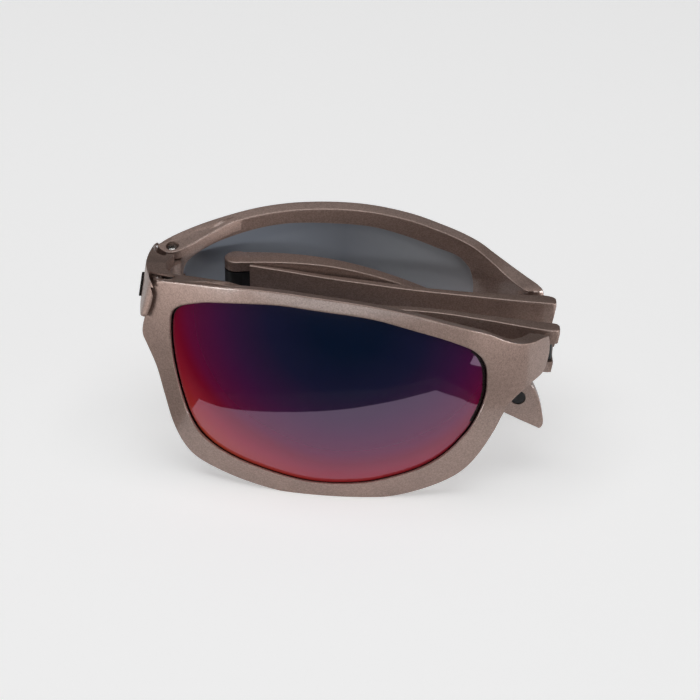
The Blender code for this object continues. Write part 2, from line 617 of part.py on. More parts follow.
def temple(side, word):
    """One temple: front half, rear half, both hinges, their pins and the tip insert."""
    hinge = (TEMPLE_AXIS_X, TEMPLE_AXIS_Y)
    middle = (MID_AXIS_X, MID_AXIS_Y)

    places = np.concatenate([np.linspace(FRONT_HALF[0, 0], FRONT_HALF[-3, 0], 20), FRONT_HALF[-2:, 0]])
    rows = open_curve(FRONT_HALF, FRONT_HALF[:, 0], places)
    rings = []
    for x, upper, lower, near, thick in rows:
        near = TEMPLE_AXIS_Y + near
        rings.append(bar_ring((x, upper), (x, lower), near, near + thick, BAR_EDGE))
    bar = loft(word + "_temple_front", rings, PAINT, side)
    slot_low = TEMPLE_BARREL_LOW - HINGE_GAP
    slot_high = TEMPLE_BARREL_HIGH + HINGE_GAP
    head_top = FRONT_HALF[-3, 2] + 0.15 * MM
    skin_y = TEMPLE_AXIS_Y + FRONT_HALF[-3, 3] + TEMPLE_SKIN
    past_y = TEMPLE_AXIS_Y + PAST
    end = np.array([TEMPLE_AXIS_X, TEMPLE_BARREL_LOW])
    lower_end = end + np.array([(1.35, 1.4), (1.25, -0.7), (0.75, -3.6), (4.8, -3.6), (4.8, 1.4)]) * MM
    upper_end = end + np.array([(1.7, 3.3), (2.15, 3.75), (2.55, 4.7), (4.8, 4.7), (4.8, 1.3), (1.3, 1.3)]) * MM
    cut(
        bar,
        loft("lower_end_" + word, [[(x, y, z) for x, z in lower_end] for y in (0.0, past_y)], side=side),
        loft("upper_end_" + word, [[(x, y, z) for x, z in upper_end] for y in (0.0, past_y)], side=side),
        box("fork_slot_" + word, (hinge[0] - TEMPLE_BARREL_R - 2.0 * HINGE_GAP, skin_y, slot_low),
            (hinge[0] + PAST, past_y, slot_high), side=side),
        disc("temple_shaft_hole_" + word, hinge, TEMPLE_SHAFT_R + SHAFT_CLEARANCE, head_top - PAST,
             TEMPLE_SHAFT_HIGH + HINGE_GAP, side=side, sides=24),
        disc("temple_head_hole_" + word, hinge, TEMPLE_HEAD_R + TEMPLE_HEAD_CLEARANCE, head_top - PAST,
             head_top + TEMPLE_HEAD_HEIGHT + 0.5 * HINGE_GAP, side=side, sides=28),
        box("plate_seat_" + word, (MID_AXIS_X - PAST, MID_PLATE_Y - HINGE_GAP, MID_BARREL_LOW - HINGE_GAP),
            (MID_PLATE_RIGHT_X + HINGE_GAP, MID_AXIS_Y + PAST, MID_BARREL_HIGH + HINGE_GAP), side=side),
    )

    barrel = disc(word + "_temple_hinge", hinge, TEMPLE_BARREL_R, TEMPLE_BARREL_LOW, TEMPLE_BARREL_HIGH, BLACK, side)
    tongue = np.array([
        (TONGUE_LEFT_X, TONGUE_END_Y), (TONGUE_LEFT_X, ENDPIECE_FACE_Y - 0.9 * MM),
        (hinge[0] - 0.6 * MM, hinge[1] + 0.3 * MM), (hinge[0] + 0.3 * MM, hinge[1] + 0.6 * MM),
        (TONGUE_RIGHT_X, ENDPIECE_FACE_Y - 0.6 * MM), (TONGUE_RIGHT_X, TONGUE_END_Y),
    ])
    join(barrel, prism("tongue_" + word, tongue, TONGUE_LOW, TONGUE_HIGH, side=side))
    cut(barrel, disc("barrel_bore_" + word, hinge, TEMPLE_SHAFT_R + SHAFT_CLEARANCE, TEMPLE_BARREL_LOW - PAST,
                     TEMPLE_BARREL_HIGH + PAST, side=side, sides=24))

    profile = [
        (TEMPLE_SOCKET_R - 0.06 * MM, head_top + SOCKET_DEPTH), (TEMPLE_SOCKET_R, head_top),
        (TEMPLE_HEAD_R - 0.15 * MM, head_top), (TEMPLE_HEAD_R, head_top + 0.15 * MM),
        (TEMPLE_HEAD_R, head_top + TEMPLE_HEAD_HEIGHT), (TEMPLE_SHAFT_R, head_top + TEMPLE_HEAD_HEIGHT),
        (TEMPLE_SHAFT_R, TEMPLE_SHAFT_HIGH - 0.15 * MM), (TEMPLE_SHAFT_R - 0.12 * MM, TEMPLE_SHAFT_HIGH),
    ]
    turned(word + "_temple_screw", hinge, profile, STEEL, side, sides=28)

    key = np.linspace(0.0, 1.0, len(REAR_HALF))
    rows = open_curve(REAR_HALF, key, np.linspace(0.0, 1.0, 34))
    rings = []
    for upper_x, upper_z, lower_x, lower_z, near, far in rows:
        rings.append(bar_ring((upper_x, upper_z), (lower_x, lower_z), MID_AXIS_Y + near, MID_AXIS_Y + far, BAR_EDGE))
    rear = loft(word + "_temple_rear", rings, PAINT, side)
    join(rear, disc("round_end_" + word, middle, MID_LOBE_R, MID_LOW, MID_TOP, side=side))
    pin_low = MID_LOW + 0.15 * MM
    cut(
        rear,
        disc("barrel_room_" + word, middle, MID_LOBE_R + MID_ROOM, MID_BARREL_LOW - HINGE_GAP,
             MID_BARREL_HIGH + HINGE_GAP, side=side, sides=48),
        disc("pin_hole_" + word, middle, MID_PIN_R + SHAFT_CLEARANCE, MID_LOW - PAST, MID_PIN_HIGH + HINGE_GAP,
             side=side, sides=24),
        disc("pin_head_hole_" + word, middle, MID_PIN_HEAD_R + SHAFT_CLEARANCE, MID_LOW - PAST,
             pin_low + MID_PIN_HEAD_HEIGHT + 0.5 * HINGE_GAP, side=side, sides=28),
    )
    turns = np.linspace(0.0, 2.0 * math.pi, 36, endpoint=False)
    hole = []
    plug = []
    for y in (TIP_NEAR_Y - 2.0 * MM, TIP_FAR_Y + 2.0 * MM):
        hole.append([(INSERT_X + (INSERT_R + INSERT_GAP) * math.cos(t), y,
                      INSERT_Z + (INSERT_R + INSERT_GAP) * math.sin(t)) for t in turns])
    cut(rear, loft("insert_hole_" + word, hole, side=side))
    near = TIP_NEAR_Y - 0.1 * MM
    far = TIP_FAR_Y + INSERT_PROUD - 0.08 * MM
    for y, radius in ((near, INSERT_R - 0.15 * MM), (near + 0.15 * MM, INSERT_R),
                      (far - 0.15 * MM, INSERT_R), (far, INSERT_R - 0.15 * MM)):
        plug.append([(INSERT_X + radius * math.cos(t), y, INSERT_Z + radius * math.sin(t)) for t in turns])
    loft(word + "_tip_insert", plug, RUBBER, side)

    knuckle = disc(word + "_mid_hinge", middle, MID_LOBE_R, MID_BARREL_LOW, MID_BARREL_HIGH, BLACK, side, sides=44)
    join(knuckle, box("leaf_" + word, (MID_PLATE_LEFT_X, MID_PLATE_Y, MID_BARREL_LOW + 0.02 * MM),
                      (MID_PLATE_RIGHT_X, MID_PLATE_Y + MID_PLATE_THICKNESS, MID_BARREL_HIGH - 0.02 * MM), side=side))
    cut(knuckle, disc("mid_bore_" + word, middle, MID_PIN_R + SHAFT_CLEARANCE, MID_LOW - PAST, MID_TOP + PAST,
                      side=side, sides=24))

    profile = [
        (MID_PIN_HEAD_R - 0.12 * MM, pin_low), (MID_PIN_HEAD_R, pin_low + 0.12 * MM),
        (MID_PIN_HEAD_R, pin_low + MID_PIN_HEAD_HEIGHT), (MID_PIN_R, pin_low + MID_PIN_HEAD_HEIGHT),
        (MID_PIN_R, MID_PIN_HIGH - 0.12 * MM), (MID_PIN_R - 0.12 * MM, MID_PIN_HIGH),
    ]
    turned(word + "_mid_pin", middle, profile, STEEL, side, sides=28)


def link_face(y, z):
    """The outer face of the link: it leans out below and bows back towards its ends."""
    drop = np.clip((LINK_TOP - z) / LINK_BOW_DROP, 0.0, 1.0)
    bow = LINK_BOW_TOP + (LINK_BOW_LOW - LINK_BOW_TOP) * drop
    end = np.clip((abs(y) - LINK_HALF_LENGTH + LINK_CORNER) / LINK_CORNER, 0.0, 1.0)
    corner = LINK_CORNER * (1.0 - math.sqrt(1.0 - 0.97 * end ** 2))
    return LINK_WALL_X - LINK_LEAN * (LINK_TOP - z) + bow / MM * y ** 2 + corner


def link_rings():
    rings = []
    for share in (-1.0, -0.97, -0.92, -0.85, -0.7, -0.5, -0.25, 0.0, 0.25, 0.5, 0.7, 0.85, 0.92, 0.97, 1.0):
        y = share * LINK_HALF_LENGTH
        top = LINK_TOP - LINK_TOP_FALL * smooth_step((y + 5.0 * MM) / (8.0 * MM))
        low = LINK_LOW + LINK_ARCH * (1.0 - share ** 2)
        ring = [(LINK_BACK_X, top)]
        ring += [(link_face(y, top) + 0.75 * MM, top), (link_face(y, top) + 0.25 * MM, top - 0.1 * MM)]
        for z in np.linspace(top - 0.45 * MM, low + 0.6 * MM, 9):
            ring.append((link_face(y, z), z))
        ring += [(link_face(y, low) + 0.2 * MM, low + 0.15 * MM), (link_face(y, low) + 0.6 * MM, low)]
        ring.append((LINK_BACK_X, low))
        rings.append([(x, y, z) for x, z in ring])
    return rings


def bridge():
    """The link between the rims, with its bare trim plate."""
    link = loft("bridge_link", link_rings(), PAINT)
    cut(
        link,
        disc("scoop", (SCOOP_X, 0.0), SCOOP_R, LINK_LOW - PAST, LINK_TOP + PAST, sides=64),
        disc("top_scoop", (TOP_SCOOP_X, TOP_SCOOP_Y), TOP_SCOOP_R, BRIDGE_LOBE_HIGH - 0.05 * MM,
             LINK_TOP + PAST, sides=96),
    )
    for side, word in ((-1, "left"), (1, "right")):
        axis = (BRIDGE_AXIS_X, BRIDGE_AXIS_Y)
        corner = [(axis[0], axis[1]), (axis[0] + 13.0 * MM, axis[1] - 1.0 * MM),
                  (axis[0] + 13.0 * MM, LINK_HALF_LENGTH + PAST), (axis[0], LINK_HALF_LENGTH + PAST)]
        cut(link, prism("corner_room_" + word, corner, LINK_LOW - PAST, LINK_TOP + PAST - 1.0 * MM, side=side))
        turns = np.linspace(0.0, 2.0 * math.pi, 72, endpoint=False)
        room = [
            [(axis[0] + radius * math.cos(t), axis[1] + radius * math.sin(t), LINK_LOW + rise) for t in turns]
            for rise, radius in POCKET_RADII
        ]
        cut(link, loft("pocket_" + word, room, side=side))
    for side, word in ((-1, "left"), (1, "right")):
        join(
            link,
            box("arm_" + word, (BRIDGE_AXIS_X - ARM_LEFT, BRIDGE_AXIS_Y - ARM_REACH, BRIDGE_LOBE_LOW + 0.02 * MM),
                (BRIDGE_AXIS_X + ARM_RIGHT, BRIDGE_AXIS_Y, BRIDGE_LOBE_HIGH - 0.02 * MM), side=side),
            disc("link_lobe_" + word, (BRIDGE_AXIS_X, BRIDGE_AXIS_Y), BRIDGE_LOBE_R, BRIDGE_LOBE_LOW,
                 BRIDGE_LOBE_HIGH, side=side),
        )
    cut(link, disc("scoop_again", (SCOOP_X - 0.01 * MM, 0.0), SCOOP_R, LINK_LOW - PAST, LINK_TOP + PAST, sides=60))
    leaf = np.array([
        (-3.85, 1.66), (-3.1, 0.96), (-2.0, 0.56), (-0.9, 0.21), (0.4, -0.14), (1.2, -0.39), (1.35, -0.19),
        (0.5, 0.31), (-0.3, 0.96), (-0.85, 2.06), (-1.3, 4.06), (-3.9, 4.06),
    ]) * MM + np.array([BRIDGE_AXIS_X, -BRIDGE_AXIS_Y])
    join(link, prism("leaf_over_screw", leaf, LINK_TOP - LEAF_THICKNESS, LINK_TOP - 0.01 * MM))
    for side, word in ((-1, "left"), (1, "right")):
        cut(link, disc("link_bore_" + word, (BRIDGE_AXIS_X, BRIDGE_AXIS_Y), BRIDGE_SHAFT_R + SHAFT_CLEARANCE,
                       BRIDGE_LOBE_LOW - PAST, BRIDGE_LOBE_HIGH + 0.3 * PAST, side=side, sides=24))

    seat = []
    plate = []
    for reach, rings in ((TRIM_HALF_WIDTH + TRIM_GAP, seat), (TRIM_HALF_WIDTH, plate)):
        more = reach - TRIM_HALF_WIDTH
        for y in (-reach, reach):
            rings.append([
                (TRIM_HIGH_X - PAST / TRIM_GAP * more, y, TRIM_HIGH + more),
                (TRIM_LOW_X - PAST / TRIM_GAP * more, y, TRIM_LOW - more),
                (TRIM_LOW_X + TRIM_THICKNESS + more, y, TRIM_LOW - more),
                (TRIM_HIGH_X + TRIM_THICKNESS + more, y, TRIM_HIGH + more),
            ])
    cut(link, loft("trim_seat", seat))
    trim = loft("bridge_trim", plate, TRIM)
    edge = trim.modifiers.new("soft_edges", "BEVEL")
    edge.width = 0.15 * MM
    edge.segments = 2


def hang(name, place, carrier, pieces):
    """An empty on the axis that a body turns about, and the body's pieces with their origins on it."""
    place = Vector(place) + Vector((-MIDDLE_X, 0.0, -REST_Z))
    pivot = bpy.data.objects.new(name, None)
    pivot.empty_display_size = PAST
    scene.collection.objects.link(pivot)
    pivot.location = place
    if carrier is not None:
        bpy.context.view_layer.update()
        pivot.parent = carrier
        pivot.location = place - carrier.matrix_world.translation
    for piece in pieces:
        held = bpy.data.objects[piece]
        held.data.transform(Matrix.Translation(-place))
        held.parent = pivot
    return pivot


bridge()
for side, word in ((-1, "left"), (1, "right")):
    front(side, word)
    temple(side, word)

link_pivot = hang("link_pivot", (BRIDGE_AXIS_X, 0.0, BRIDGE_LOBE_LOW), None, [
    "bridge_link", "bridge_trim", "left_bridge_screw", "right_bridge_screw",
])
for side, word in ((-1, "left"), (1, "right")):
    front_pivot = hang(word + "_front_pivot", (BRIDGE_AXIS_X, side * BRIDGE_AXIS_Y, BRIDGE_LOBE_LOW), link_pivot, [
        word + "_rim", word + "_lens", word + "_nose_pad", word + "_temple_hinge",
    ])
    temple_pivot = hang(word + "_temple_pivot", (TEMPLE_AXIS_X, side * TEMPLE_AXIS_Y, TEMPLE_BARREL_LOW), front_pivot, [
        word + "_temple_front", word + "_mid_hinge", word + "_temple_screw",
    ])
    hang(word + "_tip_pivot", (MID_AXIS_X, side * MID_AXIS_Y, MID_BARREL_LOW), temple_pivot, [
        word + "_temple_rear", word + "_mid_pin", word + "_tip_insert",
    ])
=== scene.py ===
"""Folded sunglasses on a pale table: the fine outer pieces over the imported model."""

import math

import bpy
import numpy as np
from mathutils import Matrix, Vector


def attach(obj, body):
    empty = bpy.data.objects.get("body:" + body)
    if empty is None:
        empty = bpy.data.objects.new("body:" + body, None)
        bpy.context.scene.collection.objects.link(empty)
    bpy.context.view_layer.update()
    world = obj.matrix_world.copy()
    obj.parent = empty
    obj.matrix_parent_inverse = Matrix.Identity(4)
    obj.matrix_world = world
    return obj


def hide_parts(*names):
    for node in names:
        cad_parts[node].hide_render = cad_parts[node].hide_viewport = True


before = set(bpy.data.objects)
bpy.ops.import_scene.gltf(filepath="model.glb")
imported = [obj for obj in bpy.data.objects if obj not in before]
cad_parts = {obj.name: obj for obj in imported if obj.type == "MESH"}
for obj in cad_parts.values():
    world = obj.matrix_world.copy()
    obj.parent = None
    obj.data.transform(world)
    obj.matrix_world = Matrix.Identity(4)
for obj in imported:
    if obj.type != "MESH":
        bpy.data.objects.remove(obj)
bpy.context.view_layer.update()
MM = 0.001

# The two fronts. Each rim is one moulding with a curve like a slice of a ball, a groove
# for the lens, a lug at the bridge and a block for the temple hinge. It is sprayed with
# a satin taupe paint that holds fine metal flake.
SHIFT, TABLE_LEVEL = 0.665, 4.62
PLACE = np.array([SHIFT, 0.0, -TABLE_LEVEL]) * MM
SIDES = {"left": -1, "right": 1}
FACE_OUT = 22.3
ARC_RADIUS, ARC_MIDDLE = 64.5, 3.2
BALL_RADIUS, BALL_HEIGHT = 80.0, 24.0
FALL_FROM, WRAP_FROM, WRAP_SPAN = 20.0, 28.0, 7.8
SLOPE_STEP = 0.02


def front_depth(x, z):
    """Distance of the outer face from the middle plane: a circle's arc across and another
    upright, less a slow fall towards the temple and a square-law wrap at its end."""
    fall = np.clip(x - FALL_FROM, 0.0, None)
    wrap = np.clip((x - WRAP_FROM) / WRAP_SPAN, 0.0, 1.1)
    across = ARC_RADIUS - np.sqrt(ARC_RADIUS ** 2 - (x - ARC_MIDDLE) ** 2)
    upwards = BALL_RADIUS - np.sqrt(BALL_RADIUS ** 2 - (z - BALL_HEIGHT) ** 2)
    return FACE_OUT - across - upwards - 0.14 * fall ** 2 / (fall + 3.0) - 3.1 * wrap ** 2


def under_front(x, z, below):
    """Points at a depth below the outer face, stepped along the face's own normal, which
    comes from the slopes of its depth."""
    step = SLOPE_STEP
    slope_x = (front_depth(x + step, z) - front_depth(x - step, z)) / (2.0 * step)
    slope_z = (front_depth(x, z + step) - front_depth(x, z - step)) / (2.0 * step)
    size = np.sqrt(1.0 + slope_x ** 2 + slope_z ** 2)
    depth = front_depth(x, z) - below / size
    return np.stack([x + below * slope_x / size, depth, z + below * slope_z / size], axis=-1)


def closed_curve(points, count, soften=0.0):
    """A closed curve through the points, a cubic between each two neighbours with slopes
    from the points on either side, read at even steps and averaged over `soften`."""
    points = np.asarray(points, float)
    t = np.linspace(0.0, 1.0, 24, endpoint=False)[None, :, None]
    before, start, end, after = (
        np.roll(points, shift, axis=0)[:, None, :] for shift in (1, 0, -1, -2)
    )
    fine = 0.5 * (
        2.0 * start + (end - before) * t + (2.0 * before - 5.0 * start + 4.0 * end - after) * t ** 2
        + (3.0 * start - before - 3.0 * end + after) * t ** 3
    )
    fine = fine.reshape(-1, points.shape[1])
    fine = np.vstack([fine, fine[:1]])
    along = np.concatenate([[0.0], np.cumsum(np.linalg.norm(np.diff(fine, axis=0), axis=1))])
    wanted = np.linspace(0.0, along[-1], count, endpoint=False)
    curve = np.stack([np.interp(wanted, along, column) for column in fine.T], axis=1)
    if soften > 0.0:
        step = along[-1] / count
        reach = np.arange(count) - count // 2
        weight = np.exp(-0.5 * (reach * step / soften) ** 2)
        weight = np.roll(weight / weight.sum(), -(count // 2))
        shape = np.fft.fft(curve, axis=0) * np.fft.fft(weight)[:, None]
        curve = np.real(np.fft.ifft(shape, axis=0))
    return curve


def rounded(corners, radii, arc=5, spans=1):
    """A closed section with each corner turned by a square-law arc between two points at
    its radius along the edges, and each straight span cut into even steps.
    Corners may carry leading axes, one section for each."""
    corners = np.asarray(corners, float)
    radii = np.broadcast_to(np.asarray(radii, float), corners.shape[:-1])[..., None]
    spans = [spans] * corners.shape[-2] if np.isscalar(spans) else spans
    back = np.roll(corners, 1, axis=-2) - corners
    ahead = np.roll(corners, -1, axis=-2) - corners
    start, end = (
        corners + radii * edge / np.maximum(np.linalg.norm(edge, axis=-1, keepdims=True), 1e-9)
        for edge in (back, ahead)
    )
    turn = np.linspace(0.0, 1.0, arc)[:, None]
    pieces = []
    for k in range(corners.shape[-2]):
        a, b, c = start[..., k, None, :], corners[..., k, None, :], end[..., k, None, :]
        pieces.append((1 - turn) ** 2 * a + 2 * turn * (1 - turn) * b + turn ** 2 * c)
        following = start[..., (k + 1) % corners.shape[-2], None, :]
        share = (np.arange(1, spans[k]) / spans[k])[:, None]
        pieces.append(c + (following - c) * share)
    return np.concatenate(pieces, axis=-2)


def quads(rows, columns, closed_rows):
    """Faces of a grid whose columns close on themselves, and its rows too where asked."""
    row = np.arange(rows if closed_rows else rows - 1)[:, None]
    column = np.arange(columns)[None, :]
    here, after = row * columns, (row + 1) % rows * columns
    beyond = (column + 1) % columns
    corners = (here + column, here + beyond, after + beyond, after + column)
    return np.stack(corners, axis=-1).reshape(-1, 4)


def solid(name, rings, side=1, closed=False, sharp=32.0):
    """A closed mesh object from rings of points in millimetres; the ends of an open row of
    rings are closed by fans to their middles."""
    rings = np.asarray(rings, float)
    rows, columns = rings.shape[:2]
    points = rings.reshape(-1, 3)
    faces = quads(rows, columns, closed).tolist()
    if not closed:
        points = np.vstack([points, rings[0].mean(axis=0), rings[-1].mean(axis=0)])
        first = np.arange(columns)
        after = (first + 1) % columns
        low = np.stack([after, first, np.full(columns, rows * columns)], axis=1)
        last = (rows - 1) * columns
        high = np.stack([first + last, after + last, np.full(columns, rows * columns + 1)], axis=1)
        faces += low.tolist() + high.tolist()
    return shape(name, points, faces, side, sharp)


def shape(name, points, faces, side=1, sharp=32.0):
    """A mesh object from points in millimetres, mirrored for the left side, with its faces
    turned outwards by the sign of its volume."""
    points = np.array(points, float) * np.array([1.0, side, 1.0]) * MM + PLACE
    mesh = bpy.data.meshes.new(name)
    mesh.from_pydata(points.tolist(), [], faces)
    mesh.update()
    made = bpy.data.objects.new(name, mesh)
    bpy.context.scene.collection.objects.link(made)
    mesh.calc_loop_triangles()
    corners = np.empty(len(mesh.loop_triangles) * 3, np.int64)
    mesh.loop_triangles.foreach_get("vertices", corners)
    a, b, c = points[corners.reshape(-1, 3)].transpose(1, 0, 2)
    if np.einsum("ij,ij->i", a, np.cross(b, c)).sum() < 0.0:
        mesh.flip_normals()
    smooth(mesh, sharp)
    return made


def smooth(mesh, sharp):
    """Smooth shading that breaks at edges sharper than an angle in degrees."""
    mesh.polygons.foreach_set("use_smooth", np.ones(len(mesh.polygons), bool))
    mesh.set_sharp_from_angle(angle=math.radians(sharp))


def worked(piece, add=(), cut=(), sharp=32.0):
    """The piece with other solids joined to it and cut from it, as one finished mesh."""
    for tools, operation in ((add, "UNION"), (cut, "DIFFERENCE")):
        for tool in tools:
            step = piece.modifiers.new("work", "BOOLEAN")
            step.operation = operation
            step.solver = "EXACT"
            step.object = tool
    depsgraph = bpy.context.evaluated_depsgraph_get()
    mesh = bpy.data.meshes.new_from_object(piece.evaluated_get(depsgraph))
    piece.modifiers.clear()
    piece.data = mesh
    for tool in (*add, *cut):
        bpy.data.objects.remove(tool)
    smooth(mesh, sharp)
    return piece


def upright(name, outline, low, high, side=1, edge=0.0, steps=4):
    """An upright prism over a plan outline with its upper rim rounded by `edge`: rings that
    step in from the outline as a quarter circle. `low` and `high` may vary by point."""
    outline = np.asarray(outline, float)
    high = np.broadcast_to(np.asarray(high, float), len(outline))
    following = np.roll(outline, -1, axis=0)
    ahead = following - np.roll(outline, 1, axis=0)
    inward = np.stack([-ahead[:, 1], ahead[:, 0]], axis=1) / np.hypot(*ahead.T)[:, None]
    around = np.sum(outline[:, 0] * following[:, 1] - outline[:, 1] * following[:, 0])
    inward = inward * np.sign(around)
    rings = [np.column_stack([outline, np.broadcast_to(low, len(outline))])]
    turns = np.linspace(0.0, 0.5 * math.pi, steps) if edge > 0.0 else [0.0]
    for turn in turns:
        pulled = outline + inward * edge * (1.0 - math.cos(turn))
        rings.append(np.column_stack([pulled, high - edge * (1.0 - math.sin(turn))]))
    return solid(name, rings, side)


def round_bar(name, middle, profile, side=1, sides=64):
    """A turned solid on an upright axis: each (radius, height) pair swept round a circle."""
    turns = np.linspace(0.0, 2.0 * math.pi, sides, endpoint=False)
    circle = np.stack([np.cos(turns), np.sin(turns)], axis=1)
    rings = [
        np.column_stack([np.array(middle) + radius * circle, np.full(sides, height)])
        for radius, height in profile
    ]
    return solid(name, rings, side)


def block(name, low, high, side=1):
    """A plain upright block between its lowest and its highest corner."""
    outline = [(low[0], low[1]), (high[0], low[1]), (high[0], high[1]), (low[0], high[1])]
    return upright(name, outline, low[2], high[2], side)


def nodes_of(name):
    """A new material with its node tree, its shader and a function that adds a node."""
    material = bpy.data.materials.new(name)
    material.use_nodes = True
    tree = material.node_tree
    shader = tree.nodes["Principled BSDF"]

    def add(kind, links=(), **values):
        node = tree.nodes.new(kind)
        for key, value in values.items():
            if hasattr(node, key):
                setattr(node, key, value)
            else:
                node.inputs[key.replace("_", " ")].default_value = value
        for socket, source in links:
            tree.links.new(source, node.inputs[socket])
        return node

    return material, tree, shader, add


def noise(add, place, scale, detail):
    """Noise on the piece's own coordinates, its value as an output."""
    node = add("ShaderNodeTexNoise", [("Vector", place.outputs["Object"])], Scale=scale, Detail=detail)
    return node.outputs["Fac"]


def ramp(node, stops):
    """Colour stops of a ramp: (place, colour) pairs."""
    elements = node.color_ramp.elements
    while len(elements) < len(stops):
        elements.new(0.5)
    for element, (place, colour) in zip(elements, stops):
        element.position = place
        element.color = (*colour, 1.0)


def flake_paint(name, dark, light, metallic, roughness, coat=0.0):
    """Satin paint: a base tone that drifts slowly, fine bright flake from a cell pattern,
    a faint orange-peel bump and a clear coat."""
    material, tree, shader, add = nodes_of(name)
    place = add("ShaderNodeTexCoord")
    cells = add("ShaderNodeTexVoronoi", [("Vector", place.outputs["Object"])], Scale=5200.0)
    tone = add("ShaderNodeValToRGB", [("Fac", noise(add, place, 90.0, 3.0))])
    ramp(tone, [(0.3, dark), (0.7, light)])
    grey = add("ShaderNodeSeparateColor", [("Color", cells.outputs["Color"])])
    spark = add("ShaderNodeMapRange", [("Value", grey.outputs["Red"])], To_Min=0.82, To_Max=1.2)
    colour = add("ShaderNodeMix", [(6, tone.outputs["Color"]), (7, spark.outputs["Result"])],
                 data_type="RGBA", blend_type="MULTIPLY")
    colour.inputs[0].default_value = 1.0
    tree.links.new(colour.outputs[2], shader.inputs["Base Color"])
    rough = add("ShaderNodeMapRange", [("Value", grey.outputs["Green"])],
                To_Min=roughness - 0.05, To_Max=roughness + 0.07)
    tree.links.new(rough.outputs["Result"], shader.inputs["Roughness"])
    peel = noise(add, place, 2600.0, 2.0)
    bump = add("ShaderNodeBump", [("Height", peel)], Strength=0.06, Distance=0.00005)
    tree.links.new(bump.outputs["Normal"], shader.inputs["Normal"])
    shader.inputs["Metallic"].default_value = metallic
    shader.inputs["Coat Weight"].default_value = coat
    shader.inputs["Coat Roughness"].default_value = 0.16
    shader.inputs["Coat IOR"].default_value = 2.0
    return material


PAINT = flake_paint(
    "satin_taupe_paint", (0.350, 0.247, 0.210), (0.400, 0.283, 0.240),
    metallic=0.75, roughness=0.48, coat=0.5,
)

# Pairs of points round the rim in its side view: x and z of the inner one, then of the outer.
RIM_PAIRS = [
    (-32.70, 36.60, -36.80, 37.20), (-32.30, 38.00, -36.15, 40.30), (-31.60, 38.80, -35.50, 42.25),
    (-30.50, 39.60, -33.60, 43.10), (-28.00, 40.70, -29.60, 43.95), (-25.00, 41.60, -25.30, 44.60),
    (-18.25, 42.75, -18.30, 45.40), (-12.50, 43.25, -12.05, 45.58), (-6.50, 42.95, -5.50, 45.22),
    (0.00, 42.35, 0.50, 44.58), (5.00, 41.40, 5.80, 43.62), (10.53, 39.60, 11.70, 42.10),
    (15.00, 37.95, 16.20, 40.50), (18.33, 36.45, 20.20, 39.00), (21.00, 34.95, 23.90, 37.40),
    (22.66, 33.30, 26.70, 35.60), (23.30, 32.20, 29.60, 33.90), (23.70, 31.20, 32.40, 32.80),
    (23.90, 30.30, 34.95, 32.25), (24.00, 29.20, 35.55, 31.50), (24.00, 28.00, 35.70, 29.00),
    (24.00, 26.90, 35.30, 27.00), (23.90, 25.80, 34.50, 25.40), (23.55, 24.20, 32.40, 24.85),
    (23.00, 22.60, 30.20, 23.90), (22.30, 21.00, 28.30, 22.50), (21.20, 19.00, 26.90, 20.20),
    (20.00, 17.50, 25.40, 17.10), (17.60, 14.80, 22.30, 12.20), (15.00, 12.70, 18.90, 8.90),
    (11.50, 10.80, 14.00, 6.60), (6.20, 9.00, 8.00, 4.90), (2.00, 8.00, 3.00, 4.42),
    (-4.50, 7.50, -4.50, 4.38), (-10.30, 7.88, -12.00, 4.42), (-18.30, 9.67, -19.30, 5.60),
    (-22.50, 11.00, -24.30, 6.90), (-25.80, 12.70, -28.50, 8.50), (-28.30, 15.00, -31.00, 11.00),
    (-30.00, 18.20, -32.90, 15.20), (-31.20, 22.30, -34.30, 20.80), (-32.10, 26.50, -35.60, 26.00),
    (-32.60, 29.80, -37.20, 29.60), (-32.80, 32.20, -38.10, 31.60), (-32.85, 34.20, -37.75, 34.40),
]


def ease(value):
    """A smooth rise from 0 to 1: three squares less two cubes."""
    value = np.clip(value, 0.0, 1.0)
    return value * value * (3.0 - 2.0 * value)


RIM_THICK, BLOCK_THICK, LIP_THICK, LIP_REACH = 2.3, 0.9, 2.8, 0.9
GROOVE_FRONT, GROOVE_BACK, GROOVE_DEEP = 0.5, 2.3, 1.0
RIM_RADII = (0.18, 0.24, 0.22, 0.18, 0.04, 0.04, 0.04, 0.05)
RIM_SPANS = (12, 3, 8, 1, 1, 1, 1, 1)


def rim_rings(stations=360):
    """Sections across the rim from the lens edge outwards, laid under the front's curve.
    The back lip reaches lower over the lens, and the rim thickens towards the temple."""
    inner_x, inner_z, outer_x, outer_z = closed_curve(RIM_PAIRS, stations, 0.35).T
    across_x, across_z = outer_x - inner_x, outer_z - inner_z
    ends = under_front(np.stack([inner_x, outer_x]), np.stack([inner_z, outer_z]), 0.0)
    full = np.linalg.norm(ends[1] - ends[0], axis=1)
    thick = RIM_THICK + BLOCK_THICK * ease((outer_x - 22.0) / 12.0)
    upward = np.clip(across_z / np.hypot(across_x, across_z), 0.0, None)
    lip = LIP_REACH * upward * ease((inner_x + 22.0) / 20.0) * ease((22.0 - inner_x) / 6.0)
    zero = np.zeros(stations)
    front, back, deep = zero + GROOVE_FRONT, zero + GROOVE_BACK, zero + GROOVE_DEEP
    corners = np.stack([
        np.stack(pair, axis=1) for pair in (
            (zero, zero), (full, zero), (full, thick), (-lip, np.maximum(thick, LIP_THICK)),
            (-lip, back), (deep, back), (deep, front), (zero, front),
        )
    ], axis=1)
    section = rounded(corners, RIM_RADII, 6, RIM_SPANS)
    share = section[..., 0] / full[:, None]
    x = inner_x[:, None] + across_x[:, None] * share
    z = inner_z[:, None] + across_z[:, None] * share
    return under_front(x, z, section[..., 1])


BRIDGE_AXIS = (-33.0, 6.06)
TEMPLE_AXIS = (35.2, 5.35)
BLOCK_FROM, BLOCK_FACE = 30.5, 7.9 + 0.03
